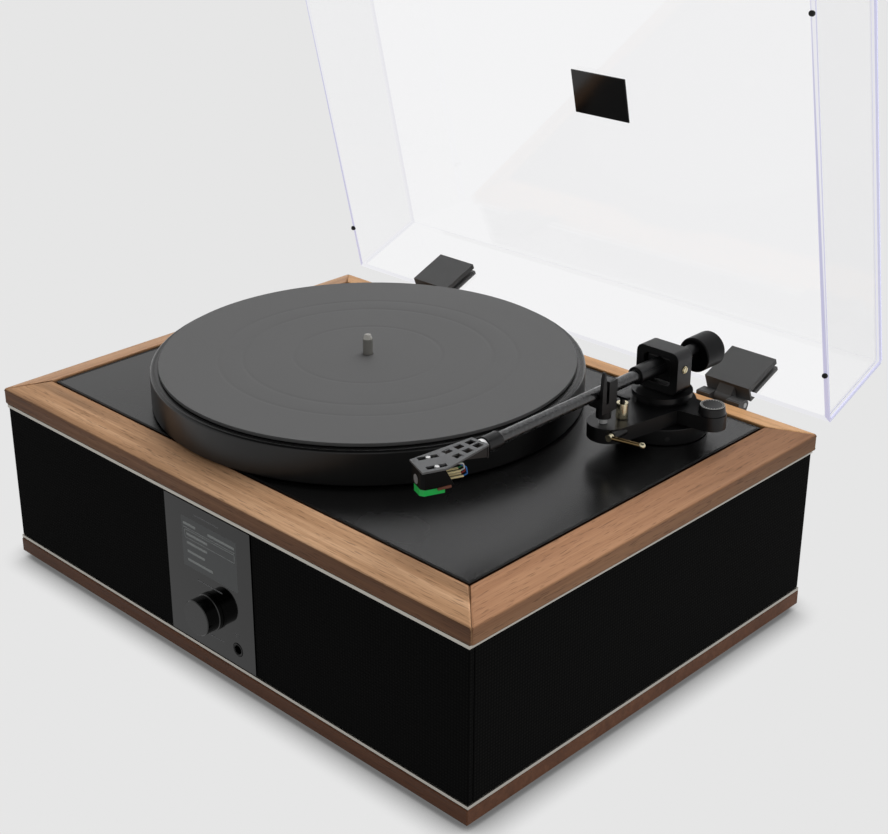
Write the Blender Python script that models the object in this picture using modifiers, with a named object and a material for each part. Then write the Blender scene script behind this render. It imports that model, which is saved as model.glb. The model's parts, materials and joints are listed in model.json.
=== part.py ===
# All-in-one record player: a walnut-framed cabinet that holds its own amplifier and speakers,
# a belt-driven platter, a straight tonearm and a clear cover on two hinges, shown open.
# Metres, +Z up. The origin is the centre of the base plate's underside; the controls face -Y.

import math

import bmesh
import bpy
from mathutils import Vector

OBJECT_NAME = "record_player"

# Clearances and segment counts that all pieces share
GAP = 0.0003
OVERRUN = 0.002
SMOOTH_ANGLE = math.radians(35)
MERGE = 0.000001
ROUND = 32
SMALL_ROUND = 16
LARGE_ROUND = 72

# Cabinet
BODY_INSET = 0.002
CLOTH_INSET = 0.0006
BASE_THICKNESS = 0.0107
LOWER_TRIM_HEIGHT = 0.0022
UPPER_TRIM_HEIGHT = 0.0024
TRIM_WIDTH = 0.010
BODY_HEIGHT = 0.1024
BOARD_THICKNESS = 0.012
GRILLE_THICKNESS = 0.004
FOOT_RADIUS = 0.014
FOOT_HEIGHT = 0.0047
FOOT_CHAMFER = 0.0015
FOOT_RECESS = 0.0015
FOOT_INSET = 0.032
EDGE_ROUND = 0.0006

# Walnut frame and the deck inside it
RAIL_WIDTH = 0.025
RAIL_OUTER_HEIGHT = 0.0115
RAIL_RISE = 0.006
RAIL_LIP_WIDTH = 0.012
DECK_THICKNESS = 0.012
DECK_RECESS = 0.001
DECK_SIDE_GAP = 0.002

# Control panel, its window, knob and headphone socket
PANEL_WIDTH = 0.085
PANEL_END_MARGIN = 0.0006
PANEL_PROUD = 0.0006
WINDOW_WIDTH = 0.054
WINDOW_HEIGHT = 0.0352
WINDOW_X = 0.0015
WINDOW_Z = 0.0864
WINDOW_RECESS = 0.0003
KNOB_X = 0
KNOB_Z = 0.0437
KNOB_BACK_RADIUS = 0.0128
KNOB_FRONT_RADIUS = 0.0122
KNOB_BACK_LENGTH = 0.0030
KNOB_FRONT_LENGTH = 0.0092
KNOB_CHAMFER = 0.0005
KNOB_SHAFT_RADIUS = 0.003
KNOB_SHAFT_LENGTH = 0.016
ENCODER_SIZE = 0.014
ENCODER_DEPTH = 0.012
ENCODER_BUSH_WALL = 0.0018
SOCKET_X = 0.0256
SOCKET_Z = 0.0262
SOCKET_BORE = 0.00325
SOCKET_WALL = 0.0014
SOCKET_DEPTH = 0.020
SOCKET_NUT_WALL = 0.003
BAFFLE_SLOT_MARGIN = 0.0038

# Loudspeaker drivers behind the front baffle
DRIVER_INSET = 0.097
DRIVER_HOLE_RADIUS = 0.037
DRIVER_FLANGE_WIDTH = 0.008
DRIVER_FLANGE_THICKNESS = 0.003
DRIVER_BASKET_DEPTH = 0.022
DRIVER_MAGNET_RADIUS = 0.027
DRIVER_MAGNET_DEPTH = 0.016
DRIVER_CONE_DEPTH = 0.012
DRIVER_CONE_FLOOR_RADIUS = 0.011

# Electronics
AMPLIFIER_WIDTH = 0.150
AMPLIFIER_LENGTH = 0.100
AMPLIFIER_BOARD = 0.0016
AMPLIFIER_STAND = 0.008
AMPLIFIER_Y = 0.060
STAND_SIZE = 0.008
HEAT_SINK_WIDTH = 0.060
HEAT_SINK_LENGTH = 0.014
HEAT_SINK_HEIGHT = 0.025
TRANSFORMER_WIDTH = 0.044
TRANSFORMER_LENGTH = 0.038
TRANSFORMER_HEIGHT = 0.036
CAPACITOR_RADIUS = 0.008
CAPACITOR_HEIGHT = 0.020

# Rear panel with its inlet, switch and sockets
REAR_PANEL_WIDTH = 0.190
REAR_PANEL_HEIGHT = 0.064
REAR_PANEL_Z = 0.064
REAR_PANEL_THICKNESS = 0.002
INLET_INSET = 0.027
INLET_WIDTH = 0.0275
INLET_HEIGHT = 0.047
INLET_DEPTH = 0.024
INLET_RECESS_WIDTH = 0.020
INLET_RECESS_HEIGHT = 0.014
INLET_RECESS_DEPTH = 0.015
INLET_RECESS_DROP = 0.012
ROCKER_WIDTH = 0.012
ROCKER_HEIGHT = 0.016
ROCKER_DEPTH = 0.008
ROCKER_LIFT = 0.012
ROCKER_PROUD = 0.001
ROCKER_TIP = 0.003
ROCKER_CLEARANCE = 0.0025
SOCKETS_INSET = 0.045
SOCKETS_WIDTH = 0.070
SOCKETS_HEIGHT = 0.034
SOCKETS_DEPTH = 0.012
JACK_RADIUS = 0.0042
JACK_LENGTH = 0.008
JACK_PITCH = 0.014
JACK_COLUMNS = 4

# Platter, its bearing and its drive
PLATTER_RADIUS = 0.150
PLATTER_LEFT_MARGIN = 0.047
PLATTER_FRONT_MARGIN = 0.021
PLATTER_REAR_MARGIN = 0.015
PLATTER_HEIGHT = 0.0236
PLATTER_CLEARANCE = 0.0016
PLATTER_TOP = 0.0086
PLATTER_WALL = 0.012
PLATTER_CHAMFER = 0.0012
MAT_RADIUS = 0.1441
MAT_THICKNESS = 0.0025
MAT_CHAMFER = 0.0004
SPINDLE_RADIUS = 0.0035
SPINDLE_TIP_RADIUS = 0.0021
SPINDLE_ABOVE_MAT = 0.0142
SPINDLE_TIP_LENGTH = 0.003
SPINDLE_DEPTH = 0.045
SUB_PLATTER_RADIUS = 0.062
SUB_PLATTER_HUB_RADIUS = 0.022
SUB_PLATTER_DISC = 0.008
SUB_PLATTER_STEP = 0.002
BEARING_FLANGE_RADIUS = 0.020
BEARING_FLANGE_THICKNESS = 0.0025
BEARING_BODY_RADIUS = 0.011
BEARING_FLOOR = 0.004
MOTOR_DISTANCE = 0.095
MOTOR_SHARE = math.sqrt(0.5)
MOTOR_RADIUS = 0.017
MOTOR_LENGTH = 0.038
MOTOR_SHAFT_RADIUS = 0.0015
MOTOR_SHAFT_DEPTH = 0.010
MOTOR_SHAFT_HOLE = 0.005
PULLEY_RADIUS = 0.007
PULLEY_HEIGHT = 0.009
PULLEY_TOP_CLEARANCE = 0.003
BELT_THICKNESS = 0.0008
BELT_WIDTH = 0.006

# Tonearm
ARM_BESIDE_PLATTER = 0.031
ARM_RIGHT_MARGIN = 0.076
ARM_REAR_MARGIN = 0.071
ARM_BASE_RADIUS = 0.031
ARM_BASE_HEIGHT = 0.011
CASTING_HEIGHT = 0.010
HUB_RADIUS = 0.0225
FRONT_LOBE_LEFT = 0.001
FRONT_LOBE_FORWARD = 0.055
FRONT_LOBE_RADIUS = 0.0135
RIGHT_LOBE_REACH = 0.039
RIGHT_LOBE_BACK = 0.001
RIGHT_LOBE_RADIUS = 0.0095
COLLAR_NECK_RADIUS = 0.0165
COLLAR_RADIUS = 0.020
COLLAR_NECK_HEIGHT = 0.0028
COLLAR_HEIGHT = 0.0035
SWING_SHAFT_RADIUS = 0.004
SWING_SHAFT_LENGTH = 0.012
YOKE_WIDTH = 0.0332
YOKE_DEPTH = 0.015
YOKE_HEIGHT = 0.0294
YOKE_SIDE_WALL = 0.006
YOKE_FLOOR = 0.0055
YOKE_ROOF = 0.0046
YOKE_ROUND = 0.005
PITCH_HEIGHT = 0.0172
AXLE_RADIUS = 0.0026
AXLE_PROUD = 0.0004
TUBE_RADIUS = 0.004
SLEEVE_RADIUS = 0.006
SLEEVE_FRONT = 0.030
SLEEVE_BACK = 0.009
STUB_RADIUS = 0.0042
STUB_LENGTH = 0.056
TUBE_FRONT = 0.1737
TUBE_COLLAR_RADIUS = 0.0055
TUBE_COLLAR_LENGTH = 0.012
COUNTERWEIGHT_RADIUS = 0.0121
COUNTERWEIGHT_LENGTH = 0.0195
COUNTERWEIGHT_BACK = 0.033
COUNTERWEIGHT_DROP = 0.0045
COUNTERWEIGHT_CHAMFER = 0.0008
HEADSHELL_NECK_RADIUS = 0.0046
HEADSHELL_NECK_LENGTH = 0.0025
HEADSHELL_TOP = 0.0042
HEADSHELL_THICKNESS = 0.0012
HEADSHELL_LENGTH = 0.0534
HEADSHELL_REAR_HALF = 0.0068
HEADSHELL_FRONT_X = 0.005
HEADSHELL_WIDTH = 0.0184
HEADSHELL_SIDE = 0.0157
HEADSHELL_TILT = math.radians(22.6)
SLOT_EDGE = 0.0043
SLOT_SPACING = 0.0127
SLOT_BACK = 0.0106
SLOT_LENGTH = 0.0125
SLOT_WIDTH = 0.0038
HOLE_WIDTH = 0.0044
HOLE_LENGTH = 0.0056
HOLE_PITCH = 0.0091
HOLE_FIRST = 0.0055
HOLE_OFFSET = 0.0030
HOLE_SPREAD = 0.0006
HOLE_ROWS = 3
CHEEK_THICKNESS = 0.0012
CHEEK_DROP = 0.0085
CHEEK_LENGTH = 0.0240
CHEEK_NOSE = 0.0015
CARTRIDGE_WIDTH = 0.0165
CARTRIDGE_LENGTH = 0.0205
CARTRIDGE_HEIGHT = 0.0115
CARTRIDGE_SLOPE = 0.006
CARTRIDGE_SETBACK = 0.0006
CARTRIDGE_CHAMFER = 0.0022
STYLUS_WIDTH = 0.0120
STYLUS_LENGTH = 0.0150
STYLUS_HEIGHT = 0.0045
STYLUS_SETBACK = 0.0010
STYLUS_CHAMFER = 0.0022
TIP_RADIUS = 0.0005
TIP_SETBACK = 0.0042
TIP_DROP = 0.0015

# Arm rest, lift, cueing lever and anti-skate knob
REST_LEFT = 0.0015
REST_FORWARD = 0.0595
REST_PIN_RADIUS = 0.0026
REST_PIN_HEIGHT = 0.004
REST_BARREL_RADIUS = 0.005
REST_BARREL_HEIGHT = 0.0085
REST_CRADLE_LEFT = 0.007
REST_CRADLE_GAP = 0.0012
REST_SIDE_GAP = 0.0009
REST_PLATE_THICKNESS = 0.0025
REST_PLATE_BACK = 0.0015
REST_PLATE_LENGTH = 0.008
REST_PLATE_HEIGHT = 0.020
REST_SPIKE_FRONT = 0.013
REST_SPIKE_LENGTH = 0.004
REST_SPIKE_SHOULDER = 0.016
REST_SPIKE_HEIGHT = 0.0275
REST_SPIKE_TIP = 0.0012
REST_SLOT_FLOOR = 0.0055
LIFT_RIGHT = 0.002
LIFT_FORWARD = 0.045
LIFT_RADIUS = 0.004
LIFT_HEIGHT = 0.0105
LIFT_ROD_RADIUS = 0.0016
LIFT_ROD_DEPTH = 0.008
LIFT_ROD_RISE = 0.003
LIFT_BAR_LENGTH = 0.015
LIFT_BAR_WIDTH = 0.003
LIFT_BAR_HEIGHT = 0.0015
LIFT_BAR_OFFSET = 0.0025
LEVER_RIGHT = 0.0105
LEVER_FORWARD = 0.0654
LEVER_DROP = 0.0036
LEVER_BOSS_RADIUS = 0.003
LEVER_BOSS_LENGTH = 0.012
LEVER_SHAFT_RADIUS = 0.0013
LEVER_SHAFT_DEPTH = 0.008
LEVER_HUB_RADIUS = 0.0024
LEVER_HUB_LENGTH = 0.0036
LEVER_ROD_RADIUS = 0.0015
LEVER_BALL_RADIUS = 0.0022
LEVER_REACH_X = 0.0225
LEVER_REACH_Y = 0.004
LEVER_REACH_Z = 0.0005
SKATE_BASE_RADIUS = 0.0090
SKATE_TOP_RADIUS = 0.0083
SKATE_HEIGHT = 0.0057
SKATE_CHAMFER = 0.0006

# Dust cover, drawn closed about its hinge pin and then turned open
COVER_OPEN_ANGLE = math.radians(76.8)
COVER_DEPTH = 0.066
COVER_SLANT = 0.0102
COVER_WALL = 0.004
COVER_OVERHANG = 0.0052
COVER_RIM_ABOVE_PIN = 0.00745
PIN_BEHIND_FRAME = 0.0085
PIN_BELOW_FRAME = 0.0014
BADGE_WIDTH = 0.049
BADGE_LENGTH = 0.0336
BADGE_THICKNESS = 0.001
BADGE_X = 0.0057
BADGE_REACH = 0.1613
LEFT_HINGE_INSET = 0.086
RIGHT_HINGE_INSET = 0.080
CLIP_WIDTH = 0.0365
CLIP_REACH = 0.0325
CLIP_UPPER = 0.004
CLIP_LOWER = 0.003
CLIP_LIP = 0.0015
KNUCKLE_WIDTH = 0.0128
KNUCKLE_RADIUS = 0.0043
PIN_RADIUS = 0.002
LEAF_THICKNESS = 0.011
LEAF_RADIUS = 0.004
LEAF_DROP = 0.020
BRACKET_DROP = 0.038
BRACKET_THICKNESS = 0.0025

# Heights and edges worked out from the sizes above
base_top = BASE_THICKNESS
lower_trim_bottom = base_top + GAP
lower_trim_top = lower_trim_bottom + LOWER_TRIM_HEIGHT
body_bottom = lower_trim_top + GAP
body_top = body_bottom + BODY_HEIGHT
upper_trim_bottom = body_top + GAP
upper_trim_top = upper_trim_bottom + UPPER_TRIM_HEIGHT
rail_bottom = upper_trim_top + GAP
frame_outer_top = rail_bottom + RAIL_OUTER_HEIGHT
frame_inner_top = frame_outer_top + RAIL_RISE
deck_top = frame_inner_top - DECK_RECESS
deck_bottom = deck_top - DECK_THICKNESS
cabinet_width = (
    PLATTER_LEFT_MARGIN + PLATTER_RADIUS * 2 + ARM_BESIDE_PLATTER + ARM_RIGHT_MARGIN
)
cabinet_depth = PLATTER_FRONT_MARGIN + PLATTER_RADIUS * 2 + PLATTER_REAR_MARGIN
half_width = cabinet_width / 2
half_depth = cabinet_depth / 2
body_half_width = half_width - BODY_INSET
body_half_depth = half_depth - CLOTH_INSET
cloth_half_width = body_half_width - CLOTH_INSET
cloth_half_depth = body_half_depth - CLOTH_INSET
inner_half_width = half_width - RAIL_WIDTH
inner_half_depth = half_depth - RAIL_WIDTH
side_inner = cloth_half_width - BOARD_THICKNESS
baffle_front = cloth_half_depth - GRILLE_THICKNESS - GAP
baffle_back = baffle_front - BOARD_THICKNESS
body_middle = (body_bottom + body_top) / 2

panel_front = -(cloth_half_depth + PANEL_PROUD)
panel_back = -(baffle_front + GAP)
panel_bottom = body_bottom + PANEL_END_MARGIN
panel_top = body_top - PANEL_END_MARGIN
knob_back = panel_front - GAP

driver_x = half_width - DRIVER_INSET
inlet_x = REAR_PANEL_WIDTH / 2 - INLET_INSET
sockets_x = SOCKETS_INSET - REAR_PANEL_WIDTH / 2

platter_x = PLATTER_LEFT_MARGIN + PLATTER_RADIUS - half_width
platter_y = half_depth - PLATTER_REAR_MARGIN - PLATTER_RADIUS
platter_bottom = deck_top + PLATTER_CLEARANCE
platter_top = platter_bottom + PLATTER_HEIGHT
platter_ceiling = platter_top - PLATTER_TOP
mat_bottom = platter_top + GAP
mat_top = mat_bottom + MAT_THICKNESS
spindle_bore = SPINDLE_RADIUS + GAP
sub_platter_top = platter_ceiling - GAP
bearing_top = deck_top + GAP + BEARING_FLANGE_THICKNESS
belt_middle = sub_platter_top - SUB_PLATTER_STEP - SUB_PLATTER_DISC / 2
motor_x = platter_x - MOTOR_DISTANCE * MOTOR_SHARE
motor_y = platter_y - MOTOR_DISTANCE * MOTOR_SHARE
motor_top = deck_bottom - GAP
pulley_top = platter_ceiling - PULLEY_TOP_CLEARANCE

arm_x = half_width - ARM_RIGHT_MARGIN
arm_y = half_depth - ARM_REAR_MARGIN
front_lobe = (arm_x - FRONT_LOBE_LEFT, arm_y - FRONT_LOBE_FORWARD)
right_lobe = (arm_x + RIGHT_LOBE_REACH, arm_y + RIGHT_LOBE_BACK)
rest_x = arm_x - REST_LEFT
rest_y = arm_y - REST_FORWARD
lift_x = arm_x + LIFT_RIGHT
lift_y = arm_y - LIFT_FORWARD
lever_x = arm_x + LEVER_RIGHT
lever_y = arm_y - LEVER_FORWARD
arm_base_bottom = deck_top + GAP
arm_base_top = arm_base_bottom + ARM_BASE_HEIGHT
casting_bottom = arm_base_top + GAP
casting_top = casting_bottom + CASTING_HEIGHT
collar_top = casting_top + COLLAR_NECK_HEIGHT + COLLAR_HEIGHT
yoke_bottom = collar_top + GAP
yoke_top = yoke_bottom + YOKE_HEIGHT
pitch_z = yoke_bottom + PITCH_HEIGHT
shaft_bottom = yoke_bottom - SWING_SHAFT_LENGTH
lever_z = casting_top - LEVER_DROP

pin_y = half_depth + PIN_BEHIND_FRAME
pin_z = frame_outer_top - PIN_BELOW_FRAME
rim_rear = PIN_BEHIND_FRAME - COVER_OVERHANG
rim_front = rim_rear + cabinet_depth + COVER_OVERHANG
rim_level = COVER_RIM_ABOVE_PIN
roof_level = rim_level + COVER_DEPTH
rear_wall_length = math.hypot(COVER_SLANT, COVER_DEPTH)

PLANE_TURNS = {
    "XY": (0, 0, 0),
    "XZ": (math.pi / 2, 0, 0),
    "YZ": (math.pi / 2, 0, math.pi / 2),
}
AXIS_TURNS = {
    "X": (0, math.pi / 2, 0),
    "Y": (-math.pi / 2, 0, 0),
    "Z": (0, 0, 0),
}


def clear_scene():
    for item in list(bpy.data.objects):
        bpy.data.objects.remove(item, do_unlink=True)


def new_collection(name):
    collection = bpy.data.collections.new(name)
    bpy.context.scene.collection.children.link(collection)
    return collection


def make_material(name, colour, roughness, metallic=0, alpha=1):
    material = bpy.data.materials.new(name)
    material.use_nodes = True
    shader = material.node_tree.nodes["Principled BSDF"]
    shader.inputs["Base Color"].default_value = (*colour, 1)
    shader.inputs["Roughness"].default_value = roughness
    shader.inputs["Metallic"].default_value = metallic
    shader.inputs["Alpha"].default_value = alpha
    return material


def add_object(name, mesh, look, at=(0, 0, 0), turn=(0, 0, 0), parent=None):
    """Link a mesh as a sub-part, or as a cutting or joining tool where look is None."""
    item = bpy.data.objects.new(name, mesh)
    item.location = at
    item.rotation_euler = turn
    item.parent = parent
    if look is None:
        tools.objects.link(item)
        item.hide_render = True
        item.display_type = "WIRE"
    else:
        parts.objects.link(item)
        mesh.materials.append(looks[look])
    return item


def pivot(name, at, turn=(0, 0, 0), parent=None):
    """An empty on a joint's axis, which carries the pieces that move about it."""
    empty = bpy.data.objects.new(name, None)
    parts.objects.link(empty)
    empty.location = at
    empty.rotation_euler = turn
    empty.parent = parent
    return empty


def finish_mesh(name, work):
    mesh = bpy.data.meshes.new(name)
    work.to_mesh(mesh)
    work.free()
    return mesh


def block(name, low, high, look=None, parent=None):
    """A box between two corners, with its origin at its centre."""
    low = Vector(low)
    high = Vector(high)
    work = bmesh.new()
    bmesh.ops.create_cube(work, size=1)
    bmesh.ops.scale(work, vec=high - low, verts=work.verts)
    return add_object(name, finish_mesh(name, work), look, (low + high) / 2, parent=parent)


def rod(name, radius, start, length, along="Z", look=None, parent=None, count=SMALL_ROUND):
    """A plain cylinder that starts at a point and runs along an axis."""
    work = bmesh.new()
    bmesh.ops.create_cone(
        work, cap_ends=True, segments=count, radius1=radius, radius2=radius, depth=length
    )
    bmesh.ops.translate(work, vec=(0, 0, length / 2), verts=work.verts)
    mesh = finish_mesh(name, work)
    mesh.shade_smooth()
    mesh.set_sharp_from_angle(angle=SMOOTH_ANGLE)
    return add_object(name, mesh, look, start, AXIS_TURNS[along], parent)


def turned(name, profile, look=None, at=(0, 0, 0), along="Z", parent=None, count=ROUND):
    """A profile of (radius, height) points, top to bottom down its outer side, spun round."""
    mesh = bpy.data.meshes.new(name)
    points = [(radius, 0, height) for radius, height in profile]
    edges = [(index, index + 1) for index in range(len(points) - 1)]
    if profile[0][0] > 0:
        edges.append((len(points) - 1, 0))
    mesh.from_pydata(points, edges, [])
    item = add_object(name, mesh, look, at, AXIS_TURNS[along], parent)
    screw = item.modifiers.new("Turn", "SCREW")
    screw.steps = count
    screw.render_steps = count
    screw.use_merge_vertices = True
    screw.merge_threshold = MERGE
    screw.use_smooth_shade = True
    return item


def outline(name, loops, thickness, look=None, at=(0, 0, 0), plane="XY", parent=None):
    """Flat closed outlines, filled and made a given thickness, half to each side."""
    curve = bpy.data.curves.new(name, "CURVE")
    curve.dimensions = "2D"
    curve.fill_mode = "BOTH"
    curve.extrude = thickness / 2
    for loop in loops:
        spline = curve.splines.new("POLY")
        spline.points.add(len(loop) - 1)
        for point, (across, up) in zip(spline.points, loop):
            point.co = (across, up, 0, 1)
        spline.use_cyclic_u = True
    drawn = bpy.data.objects.new(name + "_outline", curve)
    bpy.context.scene.collection.objects.link(drawn)
    bpy.context.view_layer.update()
    graph = bpy.context.evaluated_depsgraph_get()
    mesh = bpy.data.meshes.new_from_object(drawn.evaluated_get(graph))
    bpy.data.objects.remove(drawn, do_unlink=True)
    work = bmesh.new()
    work.from_mesh(mesh)
    bmesh.ops.remove_doubles(work, verts=work.verts, dist=MERGE)
    bmesh.ops.recalc_face_normals(work, faces=work.faces)
    work.to_mesh(mesh)
    work.free()
    mesh.name = name
    mesh.materials.clear()
    return add_object(name, mesh, look, at, PLANE_TURNS[plane], parent)


def combine(item, tool, operation):
    change = item.modifiers.new(tool.name, "BOOLEAN")
    change.operation = operation
    change.solver = "EXACT"
    change.object = tool


def cut(item, *cutters):
    for cutter in cutters:
        combine(item, cutter, "DIFFERENCE")
    return item


def join(item, *others):
    for other in others:
        combine(item, other, "UNION")
    return item


def soften(item, width, segments=1):
    bevel = item.modifiers.new("Edges", "BEVEL")
    bevel.width = width
    bevel.segments = segments
    bevel.limit_method = "ANGLE"
    return item


def arc(centre, radius, start, end, count):
    """Points on an arc, in degrees anticlockwise from +X."""
    points = []
    for step in range(count + 1):
        angle = math.radians(start + (end - start) * step / count)
        points.append(
            (centre[0] + radius * math.cos(angle), centre[1] + radius * math.sin(angle))
        )
    return points


def two_circle_outline(first, first_radius, second, second_radius, count):
    """The outline of a band drawn tightly round two circles."""
    across = second[0] - first[0]
    along = second[1] - first[1]
    heading = math.degrees(math.atan2(along, across))
    lean = math.degrees(
        math.acos((first_radius - second_radius) / math.hypot(across, along))
    )
    return arc(first, first_radius, heading + lean, heading + 360 - lean, count) + arc(
        second, second_radius, heading - lean, heading + lean, count
    )


def rounded_rectangle(width, height, radius, count):
    """A rectangle about the origin with round corners."""
    across = width / 2 - radius
    up = height / 2 - radius
    corners = [((across, up), 0), ((-across, up), 90), ((-across, -up), 180), ((across, -up), 270)]
    points = []
    for centre, start in corners:
        points += arc(centre, radius, start, start + 90, count)
    return points


def make_base():
    plate = block(
        "base_plate",
        (-body_half_width, -half_depth, 0),
        (body_half_width, half_depth, BASE_THICKNESS),
        "walnut",
    )
    foot_x = body_half_width - FOOT_INSET
    foot_y = half_depth - FOOT_INSET
    foot_top = FOOT_RECESS - GAP
    foot_profile = [
        (0, foot_top),
        (FOOT_RADIUS, foot_top),
        (FOOT_RADIUS, FOOT_CHAMFER - FOOT_HEIGHT - GAP),
        (FOOT_RADIUS - FOOT_CHAMFER, -FOOT_HEIGHT - GAP),
        (0, -FOOT_HEIGHT - GAP),
    ]
    for side, across in (("left", -foot_x), ("right", foot_x)):
        for end, along in (("front", -foot_y), ("rear", foot_y)):
            turned(f"{end}_{side}_foot", foot_profile, "rubber", (across, along, 0))
            recess = rod(
                f"{end}_{side}_recess",
                FOOT_RADIUS + GAP,
                (across, along, -OVERRUN),
                OVERRUN + FOOT_RECESS,
                count=ROUND,
            )
            cut(plate, recess)
    soften(plate, EDGE_ROUND)


def make_trim(name, bottom, height):
    """A thin metal frame that shows as a bright line round the cabinet."""
    outer = rectangle_loop(body_half_width, body_half_depth)
    inner = rectangle_loop(body_half_width - TRIM_WIDTH, body_half_depth - TRIM_WIDTH)
    outline(name, [outer, inner], height, "aluminium", (0, 0, bottom + height / 2))


def rectangle_loop(across, along):
    return [(-across, -along), (across, -along), (across, along), (-across, along)]


def make_walls():
    for side, sign in (("left", -1), ("right", 1)):
        faces = sorted((sign * side_inner, sign * cloth_half_width))
        block(
            f"{side}_side_panel",
            (faces[0], -baffle_front, body_bottom),
            (faces[1], cloth_half_depth, body_top),
            "cloth",
        )
        edges = sorted((sign * (PANEL_WIDTH / 2 + GAP), sign * cloth_half_width))
        block(
            f"{side}_front_grille",
            (edges[0], -cloth_half_depth, body_bottom),
            (edges[1], GRILLE_THICKNESS - cloth_half_depth, body_top),
            "cloth",
        )
    make_baffle()
    make_rear_board()


def make_baffle():
    """The board behind the grilles, with a hole for each driver and a slot for the controls."""
    board_edge = side_inner - GAP
    baffle = block(
        "front_baffle",
        (-board_edge, -baffle_front, body_bottom),
        (board_edge, -baffle_back, body_top),
        "fibreboard",
    )
    hole_start = -baffle_front - OVERRUN
    hole_length = BOARD_THICKNESS + OVERRUN * 2
    for side, across in (("left", -driver_x), ("right", driver_x)):
        hole = rod(
            f"{side}_driver_hole",
            DRIVER_HOLE_RADIUS,
            (across, hole_start, body_middle),
            hole_length,
            "Y",
            count=ROUND,
        )
        cut(baffle, hole)
    slot_edge = PANEL_WIDTH / 2 - BAFFLE_SLOT_MARGIN
    slot = block(
        "control_slot",
        (-slot_edge, hole_start, panel_bottom + BAFFLE_SLOT_MARGIN),
        (slot_edge, hole_start + hole_length, panel_top - BAFFLE_SLOT_MARGIN),
    )
    cut(baffle, slot)


def make_rear_board():
    board_edge = side_inner - GAP
    board = block(
        "rear_board",
        (-board_edge, cloth_half_depth - BOARD_THICKNESS, body_bottom),
        (board_edge, cloth_half_depth, body_top),
        "black_paint",
    )
    window_x = REAR_PANEL_WIDTH / 2 + GAP
    window_z = REAR_PANEL_HEIGHT / 2 + GAP
    window = block(
        "rear_window",
        (-window_x, cloth_half_depth - BOARD_THICKNESS - OVERRUN, REAR_PANEL_Z - window_z),
        (window_x, cloth_half_depth + OVERRUN, REAR_PANEL_Z + window_z),
    )
    cut(board, window)


def make_rail(name, turn, length, reach):
    """One mitred walnut rail: its top slopes down outwards, and a lip inside holds the deck."""
    inner = reach - RAIL_WIDTH
    lip = inner - RAIL_LIP_WIDTH
    lip_top = deck_bottom - GAP
    section = [
        (lip, rail_bottom),
        (reach, rail_bottom),
        (reach, frame_outer_top),
        (inner, frame_inner_top),
        (inner, lip_top),
        (lip, lip_top),
    ]
    rail = outline(name, [section], length, "walnut", plane="YZ")
    mesh = rail.data
    work = bmesh.new()
    work.from_mesh(mesh)
    # The mesh lies with the section in its own XY plane and its length along its own Z
    for sign in (-1, 1):
        bmesh.ops.bisect_plane(
            work,
            geom=work.verts[:] + work.edges[:] + work.faces[:],
            dist=MERGE,
            plane_co=(reach, 0, sign * (length / 2 - GAP)),
            plane_no=(-1, 0, sign),
            clear_outer=True,
        )
        rim = [edge for edge in work.edges if edge.is_boundary]
        bmesh.ops.contextual_create(work, geom=rim)
    bmesh.ops.recalc_face_normals(work, faces=work.faces)
    work.to_mesh(mesh)
    work.free()
    rail.rotation_euler = (math.pi / 2, 0, math.pi / 2 + turn)
    soften(rail, EDGE_ROUND)


def make_frame():
    make_rail("rear_rail", 0, cabinet_width, half_depth)
    make_rail("left_rail", math.pi / 2, cabinet_depth, half_width)
    make_rail("front_rail", math.pi, cabinet_width, half_depth)
    make_rail("right_rail", -math.pi / 2, cabinet_depth, half_width)


def make_deck():
    deck_x = inner_half_width - DECK_SIDE_GAP
    deck_y = inner_half_depth - DECK_SIDE_GAP
    deck = block(
        "deck_plate", (-deck_x, -deck_y, deck_bottom), (deck_x, deck_y, deck_top), "deck_paint"
    )
    hole_bottom = deck_bottom - OVERRUN
    hole_length = DECK_THICKNESS + OVERRUN * 2
    bearing_hole = rod(
        "bearing_hole",
        BEARING_BODY_RADIUS + GAP,
        (platter_x, platter_y, hole_bottom),
        hole_length,
        count=ROUND,
    )
    shaft_hole = rod(
        "motor_shaft_hole", MOTOR_SHAFT_HOLE, (motor_x, motor_y, hole_bottom), hole_length
    )
    cut(deck, bearing_hole, shaft_hole)


def make_control_panel():
    half_panel = PANEL_WIDTH / 2
    panel = block(
        "control_panel",
        (-half_panel, panel_front, panel_bottom),
        (half_panel, panel_back, panel_top),
        "panel_metal",
    )
    depth = panel_back - panel_front
    window_half = Vector((WINDOW_WIDTH / 2, 0, WINDOW_HEIGHT / 2))
    centre = Vector((WINDOW_X, 0, WINDOW_Z))
    spread = Vector((GAP, 0, GAP))
    front = Vector((0, panel_front, 0))
    back = Vector((0, panel_back, 0))
    past = Vector((0, OVERRUN, 0))
    cutter = block(
        "window_opening",
        centre - window_half - spread + front - past,
        centre + window_half + spread + back + past,
    )
    shaft_hole = rod(
        "knob_shaft_hole",
        KNOB_SHAFT_RADIUS + ENCODER_BUSH_WALL + GAP * 2,
        (KNOB_X, panel_front - OVERRUN, KNOB_Z),
        depth + OVERRUN * 2,
        "Y",
    )
    socket_hole = rod(
        "socket_hole",
        SOCKET_BORE + SOCKET_WALL + GAP,
        (SOCKET_X, panel_front - OVERRUN, SOCKET_Z),
        depth + OVERRUN * 2,
        "Y",
    )
    cut(panel, cutter, shaft_hole, socket_hole)
    recess = Vector((0, WINDOW_RECESS, 0))
    block(
        "display_window",
        centre - window_half + front + recess,
        centre + window_half + back,
        "screen_glass",
    )
    make_knob()
    make_headphone_socket()


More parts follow.
